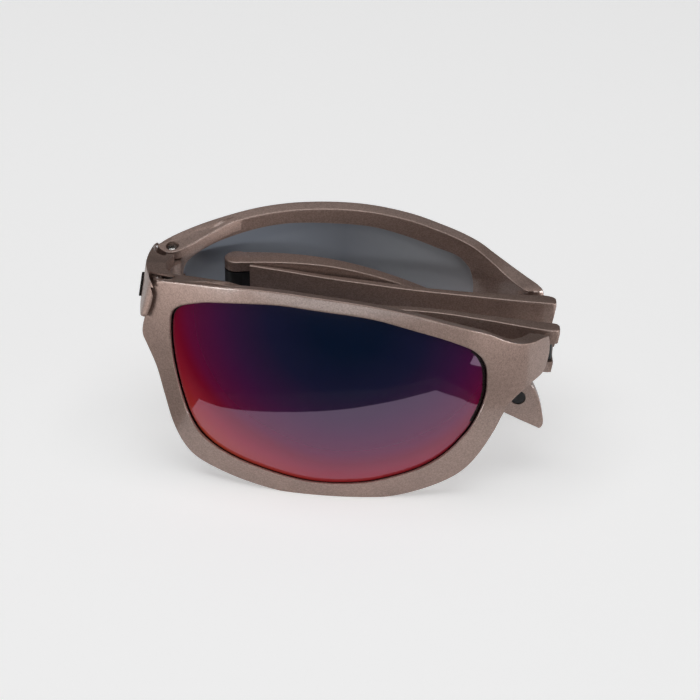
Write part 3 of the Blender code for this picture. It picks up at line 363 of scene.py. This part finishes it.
# The plan of the lug over the bridge hinge, which tapers along the rim as a low flare.
COVER_PLAN = np.array([
    (-20.5, 14.2), (-24.5, 12.0), (-27.0, 10.9), (-30.0, 9.7), (-33.0, 8.3), (-35.0, 7.3),
    (-35.8, 6.6), (-35.6, 6.0), (-35.1, 5.3), (-34.2, 4.46), (-33.4, 4.2), (-32.4, 4.27),
    (-31.4, 4.7), (-30.2, 5.53), (-28.9, 6.5), (-27.7, 7.45), (-25.4, 9.2), (-23.8, 10.35),
    (-22.3, 11.45), (-20.5, 12.6), (-18.6, 13.7), (-18.2, 14.6),
])
COVER_LOW, COVER_HIGH, COVER_LIMIT = 40.5, 42.6, 44.75
LUG_RADIUS, SHAFT_BORE, HEAD_BORE = 2.2, 0.8, 1.22

for word, side in SIDES.items():
    rings = rim_rings()
    in_block = rings[..., 0] > BLOCK_FROM
    rings[..., 1] = np.where(in_block, np.maximum(rings[..., 1], BLOCK_FACE), rings[..., 1])
    rings[..., 2] = np.maximum(rings[..., 2], TABLE_LEVEL)
    rim = solid(word + "_front", rings, side, closed=True)
    plan = closed_curve(COVER_PLAN, 120, 0.12)
    rise = COVER_HIGH + 0.08 * (plan[:, 0] - BRIDGE_AXIS[0]) + 0.2 * (plan[:, 1] - BRIDGE_AXIS[1])
    rise = np.minimum(rise + 0.14 * ease((plan[:, 0] + 31.0) / 4.0), COVER_LIMIT)
    under = COVER_LOW + 1.9 * ease((plan[:, 0] + 32.0) / 11.0)
    cover = upright("cover", plan, under, rise, side, edge=0.18)
    turns = np.linspace(-math.pi + 0.35, 0.35, 60)
    lobe = np.stack([
        BRIDGE_AXIS[0] + LUG_RADIUS * np.cos(turns), BRIDGE_AXIS[1] + LUG_RADIUS * np.sin(turns),
    ], axis=1)
    lobe = np.vstack([lobe, [(-33.6, BRIDGE_AXIS[1] + 2.1)]])
    lower = upright("lower", lobe, 33.9, 36.45, side)
    worked(rim, [cover, lower], [
        round_bar("lobe_room", BRIDGE_AXIS, [(LUG_RADIUS, 36.3), (LUG_RADIUS, 40.7)], side),
        block("arm_room", (-39.0, 1.06, 36.27), (-33.0, 6.96, 40.73), side),
        block("arm_side", (-33.2, 1.06, 36.25), (-29.8, 6.16, 40.75), side),
        round_bar("shaft_hole", BRIDGE_AXIS, [(SHAFT_BORE, 34.1), (SHAFT_BORE, 50.0)], side, 40),
        round_bar("head_hole", BRIDGE_AXIS, [(HEAD_BORE, 41.4), (HEAD_BORE, 50.0)], side),
        block("tongue_room", (33.1, 5.9, 25.9), (34.5, 9.6, 28.7), side),
    ])
    rim.data.materials.append(PAINT)
    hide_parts(word + "_rim")
    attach(rim, word + "_front")

# The lenses. Each is a curved plastic shell tinted smoke grey, with a mirror coat on its
# outer face that runs from red at the nose through purple to blue. Its edge stands in
# the groove of the rim.
LENS_MIDDLE = np.array([-4.5, 26.0])
LENS_FRONT, LENS_BACK, IN_GROOVE = 0.8, 2.0, 0.65
HUE_GAIN, HUE_START, HUE_REACH = 1.1, 0.03, 1.3


def outward_only(tree, shader, add):
    """Gloss on the outside of a shell only, so that nothing is trapped between its faces:
    a gloss level of 0.5 that falls to 0 on back faces."""
    facing = add("ShaderNodeNewGeometry")
    level = add("ShaderNodeMath", [(0, facing.outputs["Backfacing"])], operation="MULTIPLY_ADD")
    level.inputs[1].default_value = -0.5
    level.inputs[2].default_value = 0.5
    tree.links.new(level.outputs[0], shader.inputs["Specular IOR Level"])


def mirror_coat():
    """The coat: its hue follows the distance from a point near the top of the lens, measured
    in an ellipse 31 mm by 28 mm, and it reflects and lets through a little light."""
    material, tree, shader, add = nodes_of("mirror_coat")
    place = add("ShaderNodeTexCoord")
    cloud = noise(add, place, 60.0, 1.0)
    spot = add("ShaderNodeVectorMath", [(0, place.outputs["Object"])], operation="MULTIPLY_ADD")
    spot.inputs[1].default_value = (1.0 / 0.031, 0.0, 1.0 / 0.028)
    spot.inputs[2].default_value = (0.0108, 0.0, -1.2636)
    away = add("ShaderNodeVectorMath", [(0, spot.outputs["Vector"])], operation="LENGTH")
    drift = add("ShaderNodeMath", [(0, cloud), (2, away.outputs["Value"])], operation="MULTIPLY_ADD")
    drift.inputs[1].default_value = 0.06
    span = add("ShaderNodeMapRange", [("Value", drift.outputs[0])],
               From_Min=HUE_START, From_Max=HUE_START + HUE_REACH)
    tint = add("ShaderNodeValToRGB", [("Fac", span.outputs["Result"])])
    hues = [
        (0.20, (0.001, 0.007, 0.024)), (0.45, (0.008, 0.009, 0.034)), (0.54, (0.018, 0.009, 0.037)),
        (0.65, (0.033, 0.008, 0.043)), (0.75, (0.057, 0.006, 0.046)), (0.85, (0.088, 0.005, 0.042)),
        (0.93, (0.127, 0.004, 0.038)), (1.0, (0.180, 0.002, 0.019)), (1.09, (0.280, 0.012, 0.024)),
        (1.15, (0.340, 0.024, 0.024)), (1.28, (0.420, 0.060, 0.022)),
    ]
    ramp(tint, [
        (away_by / HUE_REACH, tuple(HUE_GAIN * part for part in hue)) for away_by, hue in hues
    ])
    tree.links.new(tint.outputs["Color"], shader.inputs["Base Color"])
    shader.inputs["Roughness"].default_value = 0.03
    shader.inputs["IOR"].default_value = 2.15
    shader.inputs["Specular Tint"].default_value = (0.95, 0.73, 1.0, 1.0)
    shader.inputs["Alpha"].default_value = 0.98
    outward_only(tree, shader, add)
    return material


def smoke_tint_and_painted_light():
    """The inner face: smooth tinted plastic that thins towards the temple end, its tone painted
    lighter at both ends and most at the temple end as painted light.
    """
    material, tree, shader, add = nodes_of("smoke_tint_and_painted_light")
    place = add("ShaderNodeTexCoord")
    cloud = noise(add, place, 38.0, 1.0)
    split = add("ShaderNodeSeparateXYZ", [("Vector", place.outputs["Object"])])
    haze = add("ShaderNodeMath", [(0, cloud), (2, split.outputs["X"])], operation="MULTIPLY_ADD")
    haze.inputs[1].default_value = 0.006
    along = add("ShaderNodeMapRange", [("Value", haze.outputs[0])], From_Min=-0.025, From_Max=0.028)
    tint = add("ShaderNodeValToRGB", [("Fac", along.outputs["Result"])])
    # Painted light: the tone is lighter at both ends and near white at the temple end.
    ramp(tint, [(0.0, (0.48, 0.54, 0.64)), (0.5, (0.32, 0.345, 0.40)), (1.0, (0.90, 0.94, 1.0))])
    tree.links.new(tint.outputs["Color"], shader.inputs["Base Color"])
    thin = add("ShaderNodeMapRange", [("Value", along.outputs["Result"])], To_Min=0.8, To_Max=0.6)
    tree.links.new(thin.outputs["Result"], shader.inputs["Alpha"])
    shader.inputs["Roughness"].default_value = 0.05
    outward_only(tree, shader, add)
    return material


COAT = mirror_coat()
SMOKE_AND_PAINTED_LIGHT = smoke_tint_and_painted_light()
# A near-black finish for the lens's edge band: painted shade where the rim's groove shadows the lens.
GROOVE_SHADE = flake_paint(
    "painted_groove_shade", (0.004, 0.0006, 0.0012), (0.010, 0.0010, 0.0024), metallic=0.0, roughness=0.3,
)


def lens_spots(stations, shares):
    """Rings of points in the side view: the lens's edge, which stands in the groove a step
    outside the rim's inner line, drawn in towards the lens's middle by each share."""
    curve = closed_curve(RIM_PAIRS, stations, 0.45)
    inner = curve[:, :2]
    outward = curve[:, 2:] - inner
    edge = inner + IN_GROOVE * outward / np.hypot(*outward.T)[:, None]
    return LENS_MIDDLE + (edge - LENS_MIDDLE) * shares[:, None, None]


for word, side in SIDES.items():
    stations = 240
    shares = np.concatenate([np.linspace(0.04, 0.94, 30), [0.957, 0.971, 0.985, 1.0]])
    spots = lens_spots(stations, shares)
    outer = under_front(spots[..., 0], spots[..., 1], LENS_FRONT)
    inner = under_front(spots[::-1, :, 0], spots[::-1, :, 1], LENS_BACK)
    lens = solid(word + "_mirror_lens", np.concatenate([outer, inner]), side, sharp=40.0)
    for material in (COAT, SMOKE_AND_PAINTED_LIGHT, GROOVE_SHADE):
        lens.data.materials.append(material)
    # The outer face is coated, with a near-black band at its edge that is painted shade for the rim's
    # groove, wider towards the temple, and the rest is smoke.
    middle = 0.5 * (shares[1:] + shares[:-1])[:, None]
    groove_shade = (middle > 0.972) | ((middle > 0.96) & (spots[1:, :, 0] > 21.5))
    index = np.ones(len(lens.data.polygons), np.int32)
    index[:groove_shade.size] = np.where(groove_shade, 2, 0).ravel()
    index[-2 * stations:-stations] = 0
    lens.data.polygons.foreach_set("material_index", index)
    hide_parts(word + "_lens")
    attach(lens, word + "_front")

# The nose pads and the other black parts. The pads and the tip inserts are soft rubber,
# pressed on and pushed in, and the hinge lugs and leaves are black nylon.


def black_part(name, tone, roughness, grain):
    """Black moulding: a tone with a slight drift and a fine grain in its bump."""
    material, tree, shader, add = nodes_of(name)
    place = add("ShaderNodeTexCoord")
    tint = add("ShaderNodeValToRGB", [("Fac", noise(add, place, 700.0, 2.0))])
    low, high = (tone * 0.8, tone * 0.8, tone * 0.85), (tone * 1.3, tone * 1.3, tone * 1.4)
    ramp(tint, [(0.3, low), (0.7, high)])
    tree.links.new(tint.outputs["Color"], shader.inputs["Base Color"])
    fine = noise(add, place, grain, 3.0)
    bump = add("ShaderNodeBump", [("Height", fine)], Strength=0.25, Distance=0.00004)
    tree.links.new(bump.outputs["Normal"], shader.inputs["Normal"])
    shader.inputs["Roughness"].default_value = roughness
    return material


RUBBER = black_part("black_rubber", 0.016, 0.7, 3800.0)
NYLON = black_part("black_nylon", 0.012, 0.38, 5200.0)


def refinish(material, *names):
    """A CAD node keeps its shape and takes a new finish."""
    for name in names:
        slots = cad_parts[name].data.materials
        slots.clear()
        slots.append(material)


refinish(RUBBER, "left_nose_pad", "right_nose_pad", "left_tip_insert", "right_tip_insert")
refinish(NYLON, "left_temple_hinge", "right_temple_hinge", "left_mid_hinge", "right_mid_hinge")

# The front halves of the temples. Each is a flat bar that widens to a fork at the temple
# hinge, painted like the rims. The left one is bowed a little, up and towards the middle.
# The table's columns are x, the upper and lower line, the near face, thickness and bow.
FRONT_HALF = np.array([
    (-18.9, 39.00, 32.00, 4.95, 0.80, 0.00), (-12.0, 37.80, 31.00, 4.85, 1.20, 0.00),
    (-5.0, 36.55, 29.80, 4.70, 1.40, 0.25), (3.0, 35.35, 28.50, 4.55, 1.60, 0.85),
    (11.0, 34.20, 27.20, 4.40, 1.60, 1.50), (17.0, 33.55, 26.10, 4.25, 1.65, 1.42),
    (22.0, 33.05, 25.00, 4.10, 1.80, 1.02), (26.0, 32.70, 24.20, 3.90, 2.15, 0.70),
    (30.0, 32.35, 23.60, 3.70, 2.65, 0.38), (33.0, 32.10, 23.25, 3.65, 2.85, 0.12),
    (36.6, 31.80, 23.10, 3.65, 2.85, 0.00), (37.2, 31.72, 23.20, 3.80, 2.45, 0.00),
    (37.6, 31.60, 23.40, 4.25, 1.60, 0.00),
])
BOW_UP, BOW_IN = 0.35, 1.12


def through_rows(table, key, wanted):
    """Each column of the table at the wanted keys: a cubic between rows with the table's
    own slopes."""
    slopes = np.gradient(table, key, axis=0)
    index = np.clip(np.searchsorted(key, wanted) - 1, 0, len(key) - 2)
    span = (key[index + 1] - key[index])[:, None]
    t = np.clip((wanted[:, None] - key[index][:, None]) / span, 0.0, 1.0)
    start, end = 2 * t ** 3 - 3 * t ** 2 + 1, 3 * t ** 2 - 2 * t ** 3
    leaving, arriving = t ** 3 - 2 * t ** 2 + t, t ** 3 - t ** 2
    return (
        start * table[index] + leaving * span * slopes[index]
        + end * table[index + 1] + arriving * span * slopes[index + 1]
    )


def bar_rings(top, low, near, far, edge=0.3):
    """Sections of a flat bar: a rounded oblong between the upper and lower lines of its side
    view, `near` and `far` from the middle plane."""
    depth = np.linalg.norm(low - top, axis=1)
    down = (low - top) / depth[:, None]
    zero = np.zeros(len(top))
    corners = np.stack([
        np.stack(pair, axis=1) for pair in ((near, zero), (far, zero), (far, depth), (near, depth))
    ], axis=1)
    section = rounded(corners, np.minimum(edge, 0.45 * depth)[:, None], 7, (2, 6, 2, 6))
    side_view = top[:, None, :] + down[:, None, :] * section[..., 1:2]
    return np.stack([side_view[..., 0], section[..., 0], side_view[..., 1]], axis=-1)


def side_prism(name, outline, near, far, side):
    """A prism over an outline in the side view, `near` and `far` from the middle plane."""
    x, z = np.asarray(outline, float).T
    return solid(name, [np.stack([x, np.full(len(x), y), z], axis=1) for y in (near, far)], side)


for word, side in SIDES.items():
    places = np.concatenate([np.linspace(-18.9, 36.6, 110), [36.8, 37.0, 37.2, 37.35, 37.5, 37.6]])
    x, upper, lower, near, thick, bow = through_rows(FRONT_HALF, FRONT_HALF[:, 0], places).T
    if word == "left":
        upper, lower, near = upper + BOW_UP * bow, lower + BOW_UP * bow, near - BOW_IN * bow
    bar = solid(word + "_bar", bar_rings(
        np.stack([x, upper], axis=1), np.stack([x, lower], axis=1), near, near + thick), side)
    lower_end = [(36.55, 27.0), (36.45, 24.9), (35.95, 22.0), (40.0, 22.0), (40.0, 27.0)]
    upper_end = [(36.75, 26.9), (37.65, 31.0), (40.0, 31.0), (40.0, 26.9)]
    worked(bar, [], [
        side_prism("lower_end", lower_end, 0.0, 12.0, side),
        side_prism("upper_end", upper_end, 0.0, 12.0, side),
        block("fork_slot", (33.5, 4.05, 25.3), (40.0, 9.0, 29.0), side),
        round_bar("shaft_hole", TEMPLE_AXIS, [(0.62, 20.0), (0.62, 31.15)], side, 40),
        round_bar("head_hole", TEMPLE_AXIS, [(0.86, 20.0), (0.86, 24.1)], side, 48),
        block("leaf_seat", (-25.0, 5.65, 33.7), (-11.6, 12.0, 37.3), side),
    ])
    bar.data.materials.append(PAINT)
    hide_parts(word + "_temple_front")
    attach(bar, word + "_temple")

# The rear halves of the temples, folded back on the front halves. Each is a flat bar that
# sweeps down to a rounded tip, with a round end about the middle hinge and a hole for
# the insert. The table's columns are x and z of the upper line and of the lower, then the
# near and the far face.
REAR_HALF = np.array([
    (-21.3, 39.20, -21.3, 32.00, 5.85, 10.15), (-16.0, 39.05, -16.0, 31.65, 6.20, 10.30),
    (-12.0, 38.80, -12.0, 31.20, 6.45, 10.30), (-8.0, 38.40, -8.0, 30.65, 6.65, 10.20),
    (-4.0, 37.80, -4.0, 29.90, 6.80, 10.05), (0.0, 36.92, 0.0, 29.00, 6.88, 9.90),
    (4.0, 35.78, 4.0, 27.85, 6.90, 9.75), (8.0, 34.42, 8.0, 26.50, 6.90, 9.55),
    (12.0, 32.80, 12.0, 24.95, 6.90, 9.45), (16.0, 31.00, 16.0, 23.20, 6.92, 9.35),
    (20.5, 28.95, 19.5, 21.45, 7.00, 9.30), (25.0, 26.90, 22.5, 19.50, 7.20, 9.40),
    (28.6, 25.20, 25.0, 17.95, 7.40, 9.55), (31.0, 23.70, 27.4, 16.50, 7.52, 9.70),
    (32.6, 22.20, 29.4, 15.45, 7.60, 9.80), (33.7, 19.90, 31.2, 14.50, 7.60, 9.80),
    (34.4, 17.40, 32.8, 13.70, 7.62, 9.80), (34.78, 15.30, 33.7, 13.20, 7.70, 9.72),
    (34.87, 14.50, 34.05, 12.98, 7.74, 9.70), (34.82, 13.85, 34.35, 13.05, 7.80, 9.66),
    (34.74, 13.60, 34.5, 13.25, 7.86, 9.60),
])
MID_AXIS = (-21.3, 8.15)
END_RADIUS, END_EDGE = 2.35, 0.3
INSERT_X, INSERT_Z, INSERT_RADIUS = 30.1, 19.6, 1.42

for word, side in SIDES.items():
    even = np.linspace(0.0, 1.0, len(REAR_HALF))
    rows = through_rows(REAR_HALF, even, np.linspace(0.0, 1.0, 150)).T
    rear = solid(word + "_rear_bar", bar_rings(
        np.stack(rows[0:2], axis=1), np.stack(rows[2:4], axis=1), rows[4], rows[5]), side)
    turns = np.linspace(0.0, 0.5 * math.pi, 5)
    radii = END_RADIUS - END_EDGE * (1.0 - np.cos(turns))
    inset = END_EDGE * (1.0 - np.sin(turns))
    crown = list(zip(radii, REAR_HALF[0, 1] - inset))
    foot = list(zip(radii, REAR_HALF[0, 3] + inset))[::-1]
    circle = np.linspace(0.0, 2.0 * math.pi, 72, endpoint=False)
    hole = np.stack([
        INSERT_X + INSERT_RADIUS * np.cos(circle), INSERT_Z + INSERT_RADIUS * np.sin(circle),
    ], axis=1)
    worked(rear, [round_bar("round_end", MID_AXIS, foot + crown, side, 96)], [
        round_bar("barrel_room", MID_AXIS, [(2.7, 33.7), (2.7, 37.3)], side, 96),
        round_bar("pin_hole", MID_AXIS, [(0.8, 28.0), (0.8, 38.65)], side, 40),
        round_bar("pin_head_hole", MID_AXIS, [(1.13, 28.0), (1.13, 32.9)], side, 48),
        side_prism("insert_hole", hole, 5.6, 11.8, side),
        block("leaf_seat", (-21.3, 5.0, 33.7), (-11.4, 6.62, 37.3), side),
    ])
    rear.data.materials.append(PAINT)
    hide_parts(word + "_temple_rear")
    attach(rear, word + "_tip")

# The bridge link. It is one moulding with a leaning outer face, a pocket round each hinge
# and a scooped back, painted like the rims. It turns on one steel screw at each end.
LINK_TOP, LINK_LOW, LINK_BACK = 43.15, 34.9, -31.3
LINK_HALF, CORNER_FROM, CORNER_SPAN = 8.6, 7.1, 1.5


def link_face(y, z):
    """The outer face: it leans out below its top and bows back with the square of the
    distance from the middle, then turns the corner at each end."""
    drop = np.clip((LINK_TOP - z) / 7.0, 0.0, 1.0)
    bow = 0.022 - 0.016 * drop
    end = np.clip((np.abs(y) - CORNER_FROM) / CORNER_SPAN, 0.0, 1.0)
    corner = CORNER_SPAN * (1.0 - np.sqrt(1.0 - 0.97 * end ** 2))
    return -37.35 - 0.16 * (LINK_TOP - z) + bow * y ** 2 + corner


def link_rings(stations=90):
    """Upright sections of the link from end to end, their corners rounded. The top slopes
    down from one side to the other, and the lower edge rises at both ends."""
    share = np.sin(np.linspace(-0.5, 0.5, stations) * math.pi)
    y = share * LINK_HALF
    top = LINK_TOP - 0.9 * ease((y + 5.0) / 8.0)
    low = LINK_LOW + 0.9 * share ** 4
    height = np.linspace(0.0, 1.0, 14)[None, :]
    z = top[:, None] + (low - top)[:, None] * height
    face = np.stack([link_face(y[:, None], z), z], axis=-1)
    back = np.full(stations, LINK_BACK)
    lower, upper = np.stack([back, low], axis=1), np.stack([back, top], axis=1)
    corners = np.concatenate([face, lower[:, None, :], upper[:, None, :]], axis=1)
    section = rounded(corners, [0.22] + [0.12] * 12 + [0.3, 0.05, 0.05], 5, 1)
    depth = np.broadcast_to(y[:, None], section.shape[:2])
    return np.stack([section[..., 0], depth, section[..., 1]], axis=-1)


# The pocket's wall as height and radius, and the directions that the rim's corner sweeps.
POCKET = np.array([
    (30.0, 7.60), (33.5, 5.90), (35.0, 5.18), (36.5, 4.58),
    (38.0, 4.08), (40.25, 3.66), (40.35, 2.66), (46.0, 2.66),
])
SWEEP = np.radians(np.linspace(70.0, 250.0, 46))
SCOOP_RADIUS = 3.8
link = solid("bridge_piece", link_rings())
rooms = [
    round_bar("scoop", (-29.4, 0.0), [(SCOOP_RADIUS, 30.0), (SCOOP_RADIUS, 46.0)], 1, 128),
    round_bar("top_scoop", (-24.3, -1.2), [(9.5, 40.35), (9.5, 46.0)], 1, 200),
]
heights = np.sort(np.append(np.linspace(30.0, 46.0, 40), [40.25, 40.35]))
pocket = np.stack([np.interp(heights, POCKET[:, 0], POCKET[:, 1]), heights], axis=1)
arms = []
for word, side in SIDES.items():
    corner = [BRIDGE_AXIS, (-20.0, 5.06), (-20.0, 12.0), (-33.0, 12.0)]
    rooms.append(upright("corner_room", corner, 29.0, 47.0, side))
    rooms.append(round_bar("pocket", BRIDGE_AXIS, pocket, side, 128))
    for low, high, reach in ((40.2, 41.6, 3.72), (41.5, 46.0, 3.5)):
        swept = np.array(BRIDGE_AXIS) + reach * np.stack([np.cos(SWEEP), np.sin(SWEEP)], axis=1)
        rooms.append(upright("swept_room", np.vstack([swept, [BRIDGE_AXIS]]), low, high, side))
    arms.append(block("arm", (-34.2, 0.86, 36.62), (-31.4, 6.06, 40.38), side))
    arms.append(round_bar("link_lobe", BRIDGE_AXIS, [(1.9, 36.6), (1.9, 40.4)], side, 72))
worked(link, [], rooms)
LEAF_PLAN = [
    (-36.85, -4.4), (-36.1, -5.1), (-35.0, -5.6), (-33.9, -6.0), (-32.8, -6.4), (-32.1, -6.6),
    (-32.0, -6.4), (-32.6, -5.7), (-33.2, -4.6), (-33.6, -3.3), (-33.9, -1.8), (-36.9, -1.8),
]
arms.append(upright("leaf", closed_curve(LEAF_PLAN, 90, 0.08), LINK_TOP - 0.36, LINK_TOP - 0.01))
seat = [(-44.35, 40.0), (-44.95, 35.8), (-37.8, 35.8), (-37.2, 40.0)]
worked(link, arms, [
    round_bar("scoop_again", (-29.41, 0.0), [(SCOOP_RADIUS, 30.0), (SCOOP_RADIUS, 46.0)], 1, 120),
    round_bar("bore", BRIDGE_AXIS, [(SHAFT_BORE, 32.0), (SHAFT_BORE, 42.0)], 1, 40),
    round_bar("bore", BRIDGE_AXIS, [(SHAFT_BORE, 32.0), (SHAFT_BORE, 42.0)], -1, 40),
    side_prism("trim_seat", seat, -1.7, 1.7, 1),
])
link.data.materials.append(PAINT)
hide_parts("bridge_link")
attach(link, "bridge")

# The screws, pins and the bare trim plate. Screws and pins are turned in bright steel, and the plate
# is glossy with nothing on it, its near-black tone painted shade for the shadow on its face.


def turned_steel():
    """Bright steel with a fine grain from turning: one noise drives its tone, its gloss and
    its bump."""
    material, tree, shader, add = nodes_of("turned_steel")
    place = add("ShaderNodeTexCoord")
    fine = noise(add, place, 6000.0, 2.0)
    tint = add("ShaderNodeValToRGB", [("Fac", fine)])
    ramp(tint, [(0.3, (0.60, 0.58, 0.56)), (0.7, (0.80, 0.78, 0.76))])
    tree.links.new(tint.outputs["Color"], shader.inputs["Base Color"])
    rough = add("ShaderNodeMapRange", [("Value", fine)], To_Min=0.10, To_Max=0.24)
    tree.links.new(rough.outputs["Result"], shader.inputs["Roughness"])
    bump = add("ShaderNodeBump", [("Height", fine)], Strength=0.5, Distance=0.00008)
    tree.links.new(bump.outputs["Normal"], shader.inputs["Normal"])
    shader.inputs["Metallic"].default_value = 1.0
    return material


STEEL = turned_steel()
# Near-black glossy finish for the trim plate: painted shade for the shadow on its face.
SHADED_PLATE = flake_paint(
    "plate_painted_shade", (0.05, 0.045, 0.045), (0.075, 0.065, 0.065), metallic=0.7, roughness=0.24,
)
refinish(
    STEEL, "left_bridge_screw", "right_bridge_screw", "left_temple_screw", "right_temple_screw",
    "left_mid_pin", "right_mid_pin",
)
refinish(SHADED_PLATE, "bridge_trim")

# The table, the lights and the camera. The table is a pale sheet under a broad overhead
# lamp, with low strip lamps in front and at the sides. The dark room that the near lens
# mirrors is dark cloth on the table that only gloss can see, in front and at the left, and
# a pale card on it gives the small patch of light.


def plain(name, tone, seen=0.0, mirrored=0.0):
    """A matt grey stage surface, lifted by one plain glow for the camera and one for gloss."""
    material, tree, shader, add = nodes_of(name)
    rays = add("ShaderNodeLightPath")
    gloss = add("ShaderNodeMath", [(0, rays.outputs["Is Glossy Ray"])], operation="MULTIPLY")
    gloss.inputs[1].default_value = mirrored
    glow = add("ShaderNodeMath", [(0, rays.outputs["Is Camera Ray"]), (2, gloss.outputs[0])],
               operation="MULTIPLY_ADD")
    glow.inputs[1].default_value = seen
    tree.links.new(glow.outputs[0], shader.inputs["Emission Strength"])
    shader.inputs["Emission Color"].default_value = (1.0, 1.0, 1.0, 1.0)
    shader.inputs["Base Color"].default_value = (tone, tone, tone, 1.0)
    shader.inputs["Roughness"].default_value = 0.95
    shader.inputs["Specular IOR Level"].default_value = 0.1
    return material


def sheet(name, near, far, material, level=0.0):
    """A flat sheet between two lines of points on the table, in millimetres."""
    flat = np.vstack([near, far])
    points = np.column_stack([flat, np.full(len(flat), level)]) * MM
    count = len(near)
    step = np.arange(count - 1)
    faces = np.stack([step + count, step + 1 + count, step + 1, step], axis=1)
    mesh = bpy.data.meshes.new(name)
    mesh.from_pydata(points.tolist(), [], faces.tolist())
    made = bpy.data.objects.new(name, mesh)
    bpy.context.scene.collection.objects.link(made)
    mesh.materials.append(material)
    return made


TABLE = np.array([(-3000, 3000), (3000, 3000), (-3000, -3000), (3000, -3000)])
CLOTH_EDGE = np.array([
    (-1500.0, -25.1), (-49.8, -25.1), (-47.2, -26.6), (-43.2, -29.1), (-36.5, -34.8),
    (-31.3, -39.0), (-26.0, -42.9), (-18.2, -47.6), (-8.1, -52.5), (2.1, -56.7),
    (8.4, -58.9), (15.7, -60.8), (23.7, -62.7), (32.5, -63.7), (37.9, -51.7),
    (44.9, -37.5), (57.0, -14.0), (1500.0, -8.0),
]) + (SHIFT, 0.0)
CLOTH_FRONT = CLOTH_EDGE * (1.0, 0.0) - (0.0, 1600.0)
SIDE_CLOTH = np.array([(-1500.0, -2.0), (-38.0, -8.0), (-1500.0, -25.1), (-49.8, -25.1)])
CARD = np.array([(67.5, -75.9), (71.6, -56.7), (78.8, -81.8), (80.6, -73.0)]) + (SHIFT, 0.0)
sheet("table_top", TABLE[:2], TABLE[2:], plain("pale_table", 0.80, 0.43, 0.20))
hidden = [
    sheet("dark_cloth", CLOTH_EDGE, CLOTH_FRONT, plain("dark_cloth", 0.012), 0.15),
    sheet("side_cloth", SIDE_CLOTH[:2], SIDE_CLOTH[2:], plain("side_cloth", 0.012), 0.15),
    sheet("pale_card", CARD[:2], CARD[2:], plain("pale_card", 0.80, 0.43, 0.55), 0.3),
]
for piece in hidden:
    piece.visible_camera = False
    piece.visible_shadow = False
    piece.visible_diffuse = False

world = bpy.data.worlds.new("room")
bpy.context.scene.world = world
world.use_nodes = True
sky = world.node_tree.nodes["Background"].inputs
sky["Color"].default_value = (0.95, 0.97, 1.0, 1.0)
sky["Strength"].default_value = 0.03


def soft_box(name, place, width, height, watts):
    """A rectangular studio lamp at a place in metres, turned to face the sunglasses."""
    lamp = bpy.data.lights.new(name, "AREA")
    lamp.shape = "RECTANGLE"
    lamp.size = width
    lamp.size_y = height
    lamp.energy = watts
    made = bpy.data.objects.new(name, lamp)
    made.location = place
    made.rotation_euler = (AIM - Vector(place)).to_track_quat("-Z", "Y").to_euler()
    bpy.context.scene.collection.objects.link(made)


AIM = Vector((0.0, 0.0, 0.02))
soft_box("top_box", (-0.05, -0.14, 0.9), 1.1, 0.7, 4.6)
soft_box("back_box", (0.0, 0.55, 0.8), 1.2, 0.4, 0.35)
soft_box("front_box", (0.0, -1.0, 0.05), 1.6, 0.09, 1.7)
soft_box("left_box", (-0.95, -0.45, 0.05), 0.8, 0.09, 3.8)
soft_box("right_box", (0.95, -0.45, 0.05), 0.8, 0.09, 4.6)

LOOK = Vector((0.000165, 0.0, 0.01938))
TILT, DISTANCE = math.radians(30.0), 0.5
camera = bpy.data.objects.new("camera", bpy.data.cameras.new("camera"))
camera.data.lens = 139.37
camera.data.sensor_width = 36.0
camera.data.clip_start = 0.01
camera.data.clip_end = 20.0
camera.location = LOOK + DISTANCE * Vector((0.0, -math.cos(TILT), math.sin(TILT)))
camera.rotation_euler = (math.radians(60.0), 0.0, 0.0)
bpy.context.scene.collection.objects.link(camera)
bpy.context.scene.camera = camera
bpy.context.scene.view_settings.view_transform = "Standard"
